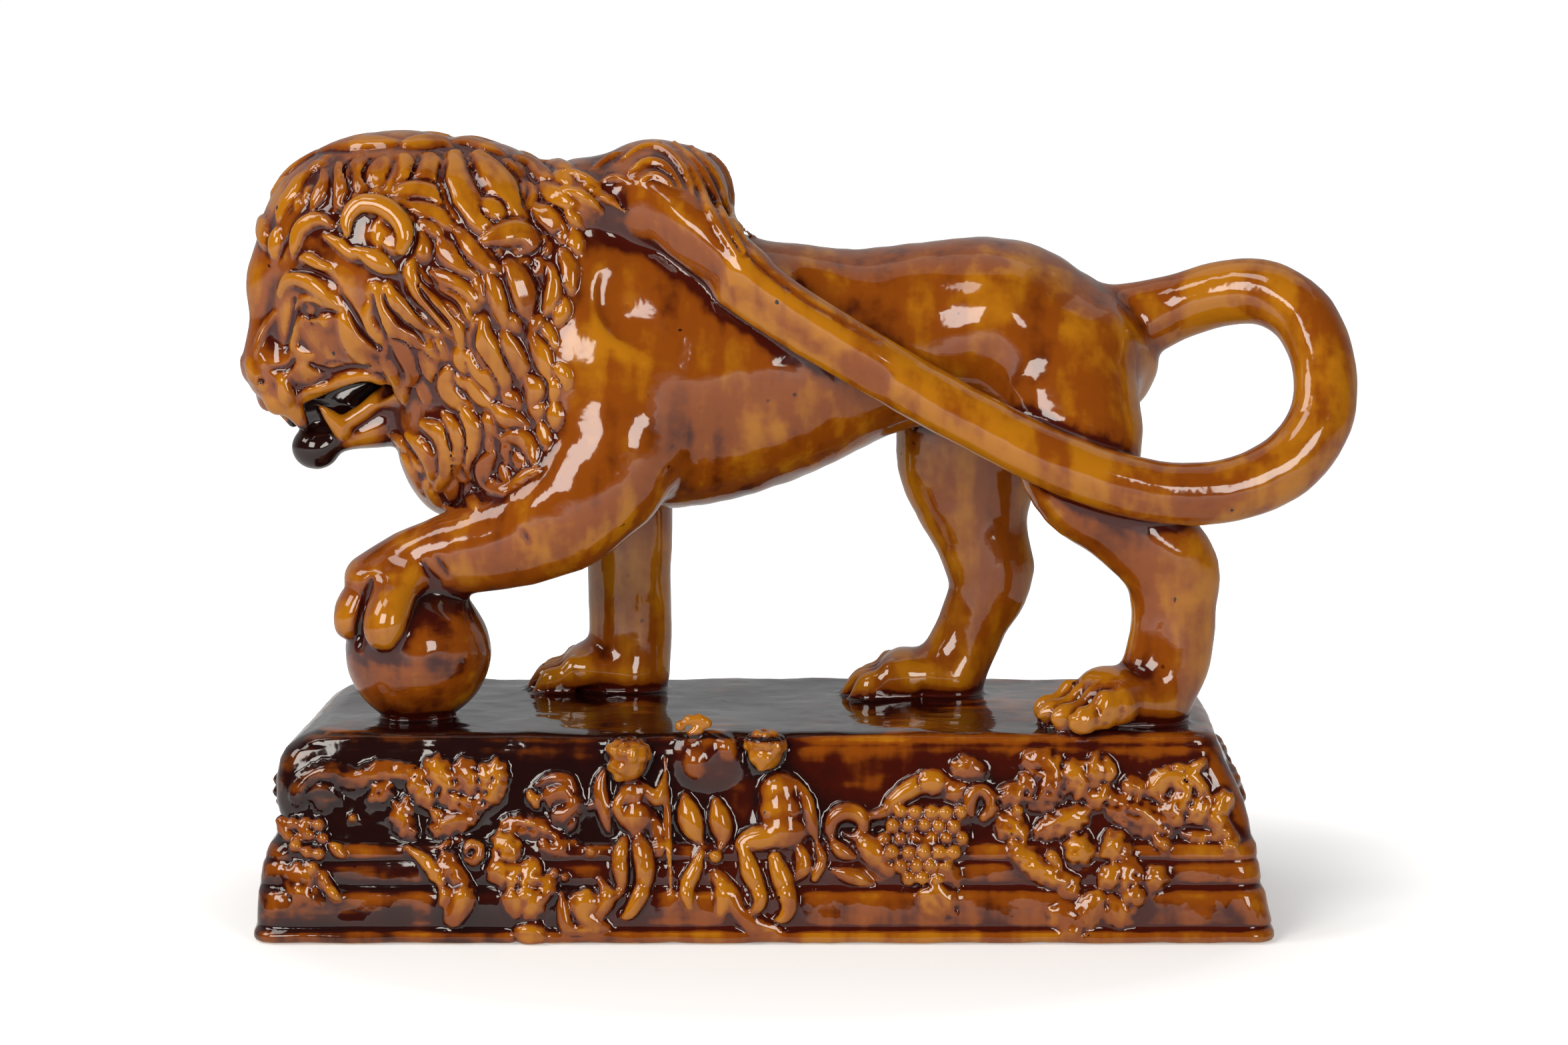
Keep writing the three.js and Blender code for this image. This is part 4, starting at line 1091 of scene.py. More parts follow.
def model_plinth(lion):
    """The oblong plinth with its mouldings; its back left top corner has slumped in."""
    clay = lion.clay
    slices, (x, y, z) = clay.window([-BEYOND] * 3, [BEYOND, BEYOND, lion.height + 10])
    height = z.ravel() * DRAWN_HEIGHT / lion.height
    faces, left, right = (np.interp(height, PLINTH_LEVELS[:, 0], PLINTH_LEVELS[:, k]) for k in (1, 2, 3))
    slump = BACK_LEFT_SLUMP * (np.clip(height, 0, DRAWN_HEIGHT) / DRAWN_HEIGHT) ** 2
    reach_y = (lion.depth / 2 - faces)[None, None, :]
    reach_right = (lion.length / 2 - right)[None, None, :]
    reach_left = (lion.length / 2 - left)[None, None, :] - slump[None, None, :] * (0.5 + y / lion.depth)
    across = np.abs(y) - (reach_y - CORNER)
    along = np.maximum(x - (reach_right - CORNER), -x - (reach_left - CORNER))
    outside = np.sqrt(np.maximum(across, 0) ** 2 + np.maximum(along, 0) ** 2)
    wall = (outside + np.minimum(np.maximum(across, along), 0) - CORNER) * 0.94
    top = z - lion.height + 0.25 * np.sin(x * 0.045 + 1) * np.cos(y * 0.06)
    bottom = -z
    solid = -smooth_min(-wall, -np.maximum(top, bottom) * np.ones_like(wall), 2.0)
    # Hand-luted slabs are never quite true
    solid = solid + LONG_WAVE * np.sin(x * 0.11 + z * 0.05) * np.sin(y * 0.09 + 2)
    solid = solid + SHORT_WAVE * np.sin(x * 0.23 + 1) * np.cos(z * 0.21)
    clay.add(slices, solid.astype(np.float32), 2.5)


# The column of PLINTH_LEVELS that says how far each face stands in
FACES = {"front": 1, "back": 1, "left": 2, "right": 3}


class Relief:
    """One face of the plinth as a sheet: along to the viewer's right, height, and rise off the face."""

    def __init__(self, lion, face):
        self.lion = lion
        self.face = face

    def inset(self, height):
        """How far the face stands in from the foot at a drawn height."""
        return np.interp(height, PLINTH_LEVELS[:-1, 0], PLINTH_LEVELS[:-1, FACES[self.face]])

    def place(self, spots):
        """Points in millimetres at spots [along, height, rise] of the face."""
        along, height, rise = np.asarray(spots, float).T
        lion = self.lion
        lift = height * lion.height / DRAWN_HEIGHT
        if self.face in ("front", "back"):
            out = lion.depth / 2 - self.inset(height) + rise
            sign = -1 if self.face == "front" else 1
            return np.stack([-sign * along, sign * out, lift], axis=1)
        out = lion.length / 2 - self.inset(height) + rise
        sign = -1 if self.face == "left" else 1
        if self.face == "left":
            out = out - BACK_LEFT_SLUMP * (height / DRAWN_HEIGHT) ** 2 * (0.5 - along / lion.depth)
        return np.stack([sign * out, sign * along, lift], axis=1)

    def read(self, view, spots):
        """Stations [along, height, half-width] of the front from spots [u, v, half-width] of a view."""
        spots = rows(*spots)
        ray = sight(view, spots)
        height = np.full(len(spots), 30.0)
        for _ in range(4):
            y = -(self.lion.depth / 2 - self.inset(height))
            point = EYE + ray * ((y - EYE[1]) / ray[:, 1])[:, None]
            height = point[:, 2] * DRAWN_HEIGHT / self.lion.height
        return np.column_stack([point[:, 0], height, spots[:, 2] / view[2] / PIXELS_PER_MM])

    def stroke(self, stations, rise=1.8, softness=0.7, taper=0.5, flat=0.8, **options):
        """A raised stroke through stations [along, height, half-width]."""
        line = resample(np.insert(rows(*stations), 2, 0, axis=1), 1.2)
        points = self.place(line[:, :3])
        normals = self.place(line[:, :3] + [0, 0, 1]) - points
        wide = line[:, 3] * (taper + (1 - taper) * swelling(len(line)))
        thick = np.maximum(wide * flat, 0.8)
        rises = rise * np.sqrt(np.clip(wide / wide.max(), 0.25, 1))
        self.lion.ribbon(points, normals, wide, thick, rises, softness=softness, **options)

    def bead(self, along, height, radius, rise, softness=0.2):
        centre = self.place([[along, height, rise - radius]])[0]
        self.lion.clay.lump(centre, [radius] * 3, softness=softness)

    def lump(self, spot, radii, rise):
        """An oval lump laid on the middle of the face at a spot of the middle view."""
        centre = self.place([[*self.spot(*spot), rise - radii[1]]])[0]
        self.lion.clay.lump(centre, radii, softness=0.8)

    def spot(self, u, v):
        """Along and height of a spot [u, v] of the middle view."""
        return self.read(MIDDLE_VIEW, [[u, v, 1]])[0][:2]

    def drawn(self, view, strokes):
        """Strokes (rise, spots) drawn over an enlarged view; a stroke of one spot is a bead."""
        for rise, spots in strokes:
            stations = self.read(view, spots)
            if len(stations) == 1:
                self.bead(*stations[0], rise=rise)
                continue
            veins = 6 if stations[:, 2].max() > VEINED_WIDTH and view is not MIDDLE_VIEW else 0
            margin = 0.1 if view is MIDDLE_VIEW else 0.5
            fuller = stations * [1, 1, RELIEF_FULLNESS]
            vein_options = {"strands": veins, "strand_depth": 0.6, "softness": 0.6}
            self.stroke(fuller, rise=rise + 0.3, flat=0.9, margin=margin, **vein_options)
            if veins:
                self.lobes(fuller, rise)

    def lobes(self, stations, rise):
        """Small lobes down both edges of a leaf."""
        line = resample(np.insert(stations, 2, 0, axis=1), 2.4)
        ways = np.gradient(line[:, :2], axis=0)
        ways /= np.maximum(np.linalg.norm(ways, axis=1, keepdims=True), 1e-6)
        swell = swelling(len(line))
        for k in range(1, len(line) - 1):
            for side in (1, -1):
                reach = side * line[k, 3] * (0.5 + 0.5 * swell[k]) * 0.86
                along, height = line[k, :2] + np.array([-ways[k, 1], ways[k, 0]]) * reach
                self.bead(along, height, 1.5 + 0.3 * math.sin(7 * k + side), rise=rise * 0.7, softness=0.7)


RELIEF_FULLNESS = 1.42  # how much wider the reliefs are than they were read
VEINED_WIDTH = 1.7  # mm: half the width from which a stroke is a leaf
# The front's relief on its enlarged views: how far it stands off the face, and spots [u, v, half-width]
LEFT_RELIEF = [
    (3.0, [[800, 352, 22], [850, 400, 34], [890, 470, 30], [902, 524, 16]]),
    (2.8, [[960, 350, 24], [970, 400, 30], [994, 455, 30], [980, 524, 18]]),
    (3.0, [[1108, 352, 22], [1104, 420, 32], [1092, 500, 30], [1078, 560, 18]]),
    (2.4, [[1046, 380, 16], [1060, 430, 22], [1058, 492, 14]]),
    (2.6, [[748, 392, 26], [760, 450, 30], [798, 520, 26], [818, 564, 14]]),
    (2.2, [[850, 486, 18], [920, 536, 30], [1000, 556, 30], [1072, 546, 16]]),
    (2.6, [[826, 694, 18], [868, 652, 30], [940, 624, 30], [1026, 606, 20]]),
    (2.0, [[822, 588, 16], [870, 602, 16]]),
    (2.4, [[748, 548, 16], [690, 570, 28], [700, 640, 30], [752, 708, 18]]),
    (2.4, [[706, 738, 14], [780, 790, 20], [840, 860, 24], [884, 932, 24], [866, 994, 16]]),
    (3.0, [
        [876, 766, 18], [905, 835, 26], [950, 905, 28], [956, 966, 32], [926, 1040, 28],
        [904, 1094, 14],
    ]),
    (1.6, [[848, 746, 10], [920, 712, 15], [990, 696, 10]]),
    (2.4, [
        [966, 762, 14], [984, 730, 18], [1022, 728, 18], [1036, 768, 18], [1008, 800, 18],
        [972, 790, 14],
    ]),
    (2.8, [[1092, 706, 24], [1150, 736, 40], [1176, 806, 26]]),
    (2.2, [[1124, 664, 20], [1210, 640, 28], [1300, 668, 40], [1370, 716, 34], [1408, 770, 14]]),
    (3.0, [[1262, 628, 18]]),
    (3.0, [[1322, 654, 18]]),
    (3.0, [[1372, 692, 18]]),
    (2.6, [[1106, 780, 20], [1124, 860, 28], [1100, 906, 14]]),
    (3.0, [[1194, 812, 16], [1180, 890, 28], [1182, 960, 26], [1228, 1054, 12]]),
    (3.0, [[1264, 792, 16], [1252, 870, 28], [1240, 932, 28], [1236, 1010, 20]]),
    (2.8, [[1336, 862, 14], [1326, 920, 26], [1290, 960, 14]]),
    (2.4, [[1160, 930, 18], [1200, 1000, 30], [1228, 1060, 14]]),
    (2.4, [[1296, 936, 16], [1270, 1000, 26], [1232, 1060, 14]]),
    (3.0, [
        [1344, 548, 20], [1358, 500, 26], [1402, 484, 24], [1444, 512, 22], [1446, 566, 22],
        [1400, 600, 22], [1356, 586, 18],
    ]),
    (2.2, [[1284, 466, 14], [1360, 434, 22], [1432, 450, 22], [1462, 512, 14]]),
    (2.2, [[1258, 496, 18], [1290, 556, 18]]),
    (1.8, [[1462, 590, 12], [1444, 640, 16], [1422, 672, 10]]),
    (2.4, [[1398, 940, 14], [1404, 1020, 20], [1430, 1096, 22], [1546, 1112, 16]]),
    (2.8, [[1510, 940, 26], [1500, 990, 40], [1486, 1044, 26]]),
    (2.0, [[1366, 852, 18]]),
    (2.0, [[1412, 876, 18]]),
    (1.8, [[1452, 722, 22]]),
    (1.8, [[1528, 762, 24]]),
    (1.8, [[1522, 566, 22]]),
    (2.4, [
        [226, 552, 18], [246, 474, 28], [308, 420, 30], [380, 408, 28], [450, 436, 26], [530, 424, 26],
        [582, 396, 22], [660, 404, 22], [744, 408, 18],
    ]),
    (2.0, [[280, 510, 34], [340, 500, 50], [400, 530, 30]]),
    (2.0, [[566, 470, 26], [596, 500, 40], [610, 536, 24]]),
    (1.8, [[470, 612, 20]]),
    (1.8, [[184, 858, 26], [250, 896, 56], [224, 984, 26]]),
    (2.0, [[338, 856, 16], [352, 910, 22], [404, 966, 18]]),
    (1.8, [[380, 730, 18], [424, 776, 22]]),
    (1.4, [[1210, 1120, 40], [1300, 1140, 44]]),
]
CORNER_GRAPES = [
    [155, 625], [206, 636], [264, 630], [320, 640], [184, 690], [232, 702], [278, 690], [338, 702],
    [216, 738], [270, 764], [320, 772], [292, 832], [160, 660], [250, 660],
]
MIDDLE_RELIEF = [
    # First child, standing with a staff
    (3.2, [[268, 590, 30], [298, 700, 34], [300, 770, 28], [284, 840, 26], [236, 926, 24], [206, 940, 14]]),
    (2.6, [[214, 610, 22], [196, 700, 26], [204, 800, 20], [180, 860, 12]]),
    (3.2, [[296, 384, 18], [350, 440, 22], [372, 400, 18], [380, 350, 14]]),
    (2.8, [[222, 400, 16], [190, 470, 20], [206, 540, 14]]),
    (2.0, [[384, 270, 9], [398, 560, 11], [412, 836, 9]]),
    (2.2, [[130, 320, 14], [112, 400, 24], [130, 500, 24], [150, 580, 12]]),
    (2.0, [[74, 470, 22]]),
    (2.0, [[208, 642, 18]]),
    (2.2, [[116, 790, 18], [142, 860, 26], [104, 936, 22]]),
    (2.2, [[56, 836, 22], [40, 930, 30], [150, 988, 14]]),
    (2.0, [[330, 500, 16], [352, 590, 26], [362, 680, 16]]),
    # Second child, bent under its load
    (3.2, [[470, 436, 24], [488, 520, 38], [512, 590, 28], [540, 626, 12]]),
    (3.2, [[600, 452, 20], [616, 530, 34], [630, 600, 28], [618, 646, 14]]),
    (3.0, [[598, 684, 28]]),
    (2.4, [[538, 664, 12], [510, 740, 22], [476, 820, 24], [490, 900, 14]]),
    (1.6, [[600, 760, 26], [640, 850, 36], [620, 930, 22]]),
    # Third child, turned away
    (4.4, [[880, 600, 40], [800, 606, 42], [728, 622, 34], [694, 640, 18]]),
    (3.2, [[938, 372, 18], [976, 440, 22], [1000, 540, 20], [1022, 620, 12]]),
    (3.2, [[716, 656, 26], [746, 750, 30], [786, 850, 22], [770, 904, 20], [740, 916, 12]]),
    (3.4, [[846, 690, 32], [880, 790, 34], [908, 884, 24], [886, 940, 22], [852, 950, 12]]),
    (2.2, [[944, 640, 20], [968, 720, 28], [936, 776, 16]]),
    (2.2, [[1028, 636, 12], [1044, 700, 16], [1012, 780, 16]]),
    (1.6, [[670, 830, 26], [696, 920, 32], [780, 984, 38], [866, 996, 18]]),
    # Scroll, stem and leaves beside the grapes
    (2.6, [
        [1098, 634, 14], [1078, 580, 22], [1096, 520, 26], [1150, 496, 28], [1204, 516, 26],
        [1220, 566, 20], [1180, 604, 20], [1136, 590, 12],
    ]),
    (2.4, [[1088, 616, 16], [1128, 664, 22], [1182, 690, 14]]),
    (1.8, [[1196, 610, 26], [1256, 668, 48], [1336, 750, 26]]),
    (1.8, [[1096, 746, 16], [1170, 768, 28], [1250, 802, 14]]),
    (2.6, [[1300, 508, 14], [1346, 452, 26], [1420, 400, 30], [1490, 368, 28], [1560, 366, 24]]),
    (2.0, [[1244, 516, 16], [1330, 494, 18]]),
]
BENT_CHILD_CURLS = [[448, 134], [486, 108], [524, 150], [530, 104], [562, 122], [500, 170]]
# Under the bunch of grapes: spots of the middle view and half-sizes in mm
BUNCH_BED = (([1480, 570], (11, 3, 8)), ([1470, 700], (7, 3, 8)), ([1590, 580], (6, 3, 8)))
BUNCH_EDGE = [
    [1275, 600], [1340, 500], [1430, 440], [1500, 455], [1560, 460], [1640, 500], [1680, 620],
    [1620, 700], [1570, 790], [1500, 850], [1430, 830], [1390, 750], [1320, 680],
]
RIGHT_RELIEF = [
    (2.0, [[36, 780, 22], [100, 820, 34], [166, 894, 16]]),
    (1.8, [[16, 860, 28], [80, 936, 52], [136, 996, 22]]),
    (2.6, [[-6, 436, 20], [50, 436, 30], [104, 436, 18]]),
    (2.2, [[116, 504, 16], [160, 478, 28], [214, 448, 16]]),
    (2.4, [[146, 404, 16], [190, 370, 26], [232, 386, 22], [284, 386, 12]]),
    (2.2, [[196, 352, 14], [236, 344, 14]]),
    (2.6, [
        [222, 578, 14], [212, 530, 24], [226, 484, 24], [264, 468, 20], [300, 500, 24], [306, 552, 24],
        [270, 588, 22],
    ]),
    (2.6, [[340, 578, 20], [390, 630, 38], [430, 682, 32], [454, 710, 12]]),
    (3.0, [[420, 558, 24]]),
    (2.6, [[444, 362, 18], [520, 352, 40], [562, 400, 46], [540, 480, 48], [480, 544, 30]]),
    (2.2, [[440, 400, 18], [462, 460, 26], [430, 520, 22]]),
    (2.4, [[326, 504, 16], [390, 496, 30], [446, 468, 20]]),
    (2.8, [[622, 352, 16], [652, 400, 34], [692, 450, 30], [668, 506, 18]]),
    (2.8, [[744, 324, 22], [752, 390, 32], [762, 446, 16]]),
    (2.6, [[800, 336, 14], [816, 390, 20], [798, 440, 12]]),
    (2.4, [[806, 446, 14], [768, 500, 26], [726, 540, 14]]),
    (2.8, [[496, 676, 16], [570, 622, 32], [660, 590, 34], [716, 556, 22]]),
    (2.4, [[786, 540, 16], [850, 544, 38], [930, 580, 50], [1012, 640, 38], [1068, 704, 16]]),
    (2.2, [[866, 428, 16], [912, 460, 26], [966, 482, 14]]),
    (2.8, [
        [1012, 500, 22], [1016, 444, 26], [1064, 408, 24], [1122, 426, 26], [1138, 490, 24],
        [1090, 536, 26], [1034, 530, 22],
    ]),
    (2.6, [[1050, 530, 28], [1090, 590, 30], [1104, 630, 12]]),
    (2.2, [[1064, 372, 12], [1120, 380, 20], [1180, 430, 22], [1212, 480, 22], [1190, 524, 12]]),
    (2.2, [[1136, 402, 10], [1190, 362, 18], [1222, 342, 10]]),
    (2.4, [[1146, 604, 22], [1190, 560, 38], [1204, 500, 22]]),
    (1.6, [[1126, 660, 14], [1200, 672, 20], [1296, 660, 12]]),
    (2.2, [[1332, 484, 14], [1272, 540, 24], [1270, 610, 26], [1310, 670, 24], [1352, 726, 14]]),
    (2.6, [[614, 700, 14], [680, 720, 38], [704, 776, 24]]),
    (2.4, [[556, 736, 18], [590, 796, 22]]),
    (2.6, [[390, 736, 12], [470, 776, 22], [540, 830, 26], [610, 870, 24], [680, 890, 18]]),
    (2.8, [[784, 744, 24], [840, 708, 42], [886, 676, 20]]),
    (3.0, [[834, 782, 18], [816, 850, 32], [794, 898, 12]]),
    (3.2, [[906, 772, 24], [890, 850, 34], [930, 938, 38]]),
    (3.0, [[986, 796, 16], [1008, 850, 30], [984, 902, 16]]),
    (2.2, [[1006, 676, 20], [1056, 716, 18]]),
    (2.4, [[768, 896, 14], [740, 960, 28], [700, 1030, 30], [678, 1078, 14]]),
    (1.6, [[560, 990, 24], [620, 1020, 40], [700, 1060, 30]]),
    (1.8, [[820, 940, 30], [856, 1000, 44], [850, 1060, 20]]),
]


# Chests, bellies and seats of the children on the middle view: spot, half-sizes and rise in mm
CHILD_BODIES = (
    ([252, 430], (4.7, 4, 5.6), 3.6),
    ([264, 520], (4.9, 4.4, 5.6), 4.0),
    ([868, 420], (6.4, 5, 6.6), 4.2),
    ([880, 500], (7.6, 6, 7.6), 4.8),
    ([884, 580], (7.8, 6, 6.8), 5.2),
)


def child_head(relief, spot, radius, turn):
    """A child's head with short curls and a calm, plain face, which looks turn degrees round from the
    viewer's left."""
    lion = relief.lion
    rise = radius * 0.95
    centre = relief.place([[*relief.spot(*spot), rise - radius * 0.6]])[0]
    lion.clay.lump(centre, [radius * 0.92, radius * 0.92, radius], softness=0.6)
    c, s = cos_sin(turn)

    def on_face(across, up, out, size, cut=False):
        point = centre + radius * np.array([out * -c + across * s, -(out * s + across * c), up])
        lion.clay.lump(point, [radius * size] * 3, softness=0.3, cut=cut)

    on_face(0, -0.12, 0.98, 0.16)
    for across in (0.34, -0.34):
        on_face(across, 0.08, 0.96, 0.13, cut=True)
        on_face(across, -0.26, 0.7, 0.3)
    on_face(0, -0.46, 0.88, 0.12)
    on_face(0, -0.72, 0.62, 0.26)
    for ring, count, up in ((0.95, 11, 0.3), (0.86, 10, 0.62), (0.5, 6, 0.9)):
        for k in range(count):
            angle = 2 * math.pi * (k + ring) / count
            if math.cos(angle) > 0.55 and up < 0.5:
                continue
            on_face(math.sin(angle) * ring, up, math.cos(angle) * ring, 0.27)


def model_reliefs(lion):
    """The moulded vine, grapes and children on the plinth's front."""
    front = Relief(lion, "front")
    front.drawn(LEFT_VIEW, LEFT_RELIEF)
    front.drawn(LEFT_VIEW, [(2.4, [[u, v, 29]]) for u, v in CORNER_GRAPES])
    # The second child's bowed back and its hair, which stand above the plinth's edge
    along, height = front.spot(575, 250)
    lion.clay.lump(front.place([[along - 1, height - 2, -1.5]])[0], [9, 4.2, 8.4], softness=3)
    lion.clay.lump(front.place([[along - 4, height - 3, 0]])[0], [4, 4, 5], softness=1)
    lion.clay.lump(front.place([[along + 4.6, height + 1, 0]])[0], [3.6, 4, 4.4], softness=1)
    front.drawn(MIDDLE_VIEW, [(3.4, [[u, v, 24]]) for u, v in BENT_CHILD_CURLS])
    front.drawn(MIDDLE_VIEW, MIDDLE_RELIEF)
    for spot, radii in BUNCH_BED:
        lion.clay.lump(front.place([[*front.spot(*spot), -1.4]])[0], radii, softness=1)
    front.drawn(MIDDLE_VIEW, [(3.5, [[u, v, 31]]) for u, v in packed(BUNCH_EDGE, 65, 56)])
    for spot, radii, rise in CHILD_BODIES:
        front.lump(spot, radii, rise)
    child_head(front, [232, 280], 6, 40)
    child_head(front, [806, 240], 5.6, 70)
    front.drawn(RIGHT_VIEW, RIGHT_RELIEF)
    batter(lion)


def model_plain_sides(lion):
    """A thin vine on the plinth's back, and a few leaves on its ends."""
    back = Relief(lion, "back")
    stem = [[along, 44 + 4 * math.sin(along * 0.063), 1.5] for along in range(-108, 109, 12)]
    back.stroke(stem, rise=1.5, taper=0.8)
    for k, along in enumerate((-84, -28, 28, 84)):
        vine_leaf(back, along, 38 if k % 2 else 50, 180 if k % 2 else 0)
    for middle in (-56, 0, 56):
        grape_bunch(back, middle, 41)
    left = Relief(lion, "left")
    grape_bunch(left, 33, 44)
    vine_leaf(left, 12, 42, 60)
    vine_leaf(left, -22, 42, -60)
    right = Relief(lion, "right")
    vine_leaf(right, -24, 40, 60)
    vine_leaf(right, 24, 40, -60)


def packed(edge, across, down):
    """Spots of a bunch inside a closed edge: rows that stand in the gaps of the rows above them."""
    spread = np.random.default_rng(6)
    low, high = np.min(edge, axis=0), np.max(edge, axis=0)
    found = []
    for row in range(int((high[1] - low[1]) / down) + 1):
        for n in range(int((high[0] - low[0]) / across) + 2):
            spot = low + [(n - row % 2 * 0.5) * across, row * down] + spread.uniform(-4, 4, 2)
            if inside_edge(edge, spot):
                found.append(spot)
    return found


LEAF_REACH = 8.0  # mm
GRAPE_RADIUS = 1.9


def vine_leaf(relief, along, height, turn):
    """A plain five-lobed leaf round a spot of the face, its tip turned from straight up."""
    for lobe, share in ((-112, 0.7), (112, 0.7), (-56, 0.86), (56, 0.86), (0, 1.0)):
        angle = math.radians(lobe + turn)
        way = np.array([math.sin(angle), math.cos(angle)]) * LEAF_REACH * share
        stations = ((0.05, 1.0), (0.55, 2.6), (1.0, 0.8))
        line = [[along + way[0] * f, height + way[1] * f, wide] for f, wide in stations]
        relief.stroke(line, rise=1.9, strands=3, strand_depth=0.4, softness=0.5)


def grape_bunch(relief, along, height):
    """A small bunch of grapes that hangs from a spot of the face."""
    for row, count in enumerate((3, 4, 3, 2, 1)):
        for n in range(count):
            aside = (n - (count - 1) / 2) * GRAPE_RADIUS * 1.9
            relief.bead(along + aside, height - row * GRAPE_RADIUS * 1.7, GRAPE_RADIUS, rise=2.2)


BATTER_DEPTH = 0.3  # mm


def batter(lion):
    """Makes the front's reliefs lumpy, as a worn mould and thick glaze leave them."""
    high = [BEYOND, -lion.depth / 2 + 16, lion.height + 8]
    slices, (x, y, z) = lion.clay.window([-BEYOND, -BEYOND, 17], high)
    height = z * DRAWN_HEIGHT / lion.height
    face = lion.depth / 2 - np.interp(height, PLINTH_LEVELS[:, 0], PLINTH_LEVELS[:, 1])
    stands_off = ramp(-y - face, 1.2)
    lumps = np.sin(x * 1.3 + 0.7 * z + 1) * np.sin(z * 1.5 - 0.5 * x)
    lumps = lumps + 0.8 * np.sin(x * 0.9 - 1.1 * z) * np.sin(z * 0.8 + x * 0.9 + 2)
    # Children and grapes keep their forms, and the left corner is flooded smooth
    away = np.clip((np.abs(x - 1) - 63) / 4, 0.2, 1) * np.clip((x + 126) / 4, 0.2, 1)
    lion.clay.skin[slices] -= (BATTER_DEPTH * lumps * stands_off * away).astype(np.float32)


def box_blur(field, width, passes):
    """A field averaged over a cube that is width samples across, passes times."""
    for _ in range(passes):
        for axis in range(3):
            padding = [(0, 0)] * 3
            padding[axis] = (width // 2 + 1, width // 2)
            total = np.cumsum(np.pad(field, padding, mode="edge"), axis=axis, dtype=np.float32)
            upper = [slice(None)] * 3
            lower = [slice(None)] * 3
            upper[axis] = slice(width, None)
            lower[axis] = slice(0, -width)
            field = (total[tuple(upper)] - total[tuple(lower)]) / width
    return field


# Looks


def add_node(tree, kind, inputs=(), **settings):
    """Adds a node with its settings, its sockets filled from values or from other nodes' outputs."""
    node = tree.nodes.new(kind)
    for name, value in settings.items():
        setattr(node, name, value)
    for socket, value in dict(inputs).items():
        if isinstance(value, bpy.types.NodeSocket):
            tree.links.new(value, node.inputs[socket])
        else:
            node.inputs[socket].default_value = value
    return node


# Sizes of the glaze's patterns in mm
RUNS = 10.526
BLOTCHES = 35.714
MOTTLING = 2.381
STREAKS = 5.882
SPECKS = 6.25
SPECK_PATCHES = 16.667
SPECK_EDGES = 1.111
FOOT_EDGE = 3.333
RIPPLES = 5.263
RIPPLE_DEPTH = 0.0006  # m
RIPPLE_STRENGTH = 0.16
LEAD_GLAZE_IOR = 1.54
LEAD_GLAZE_ROUGHNESS = 0.07
BARE_CLAY_ROUGHNESS = 0.8


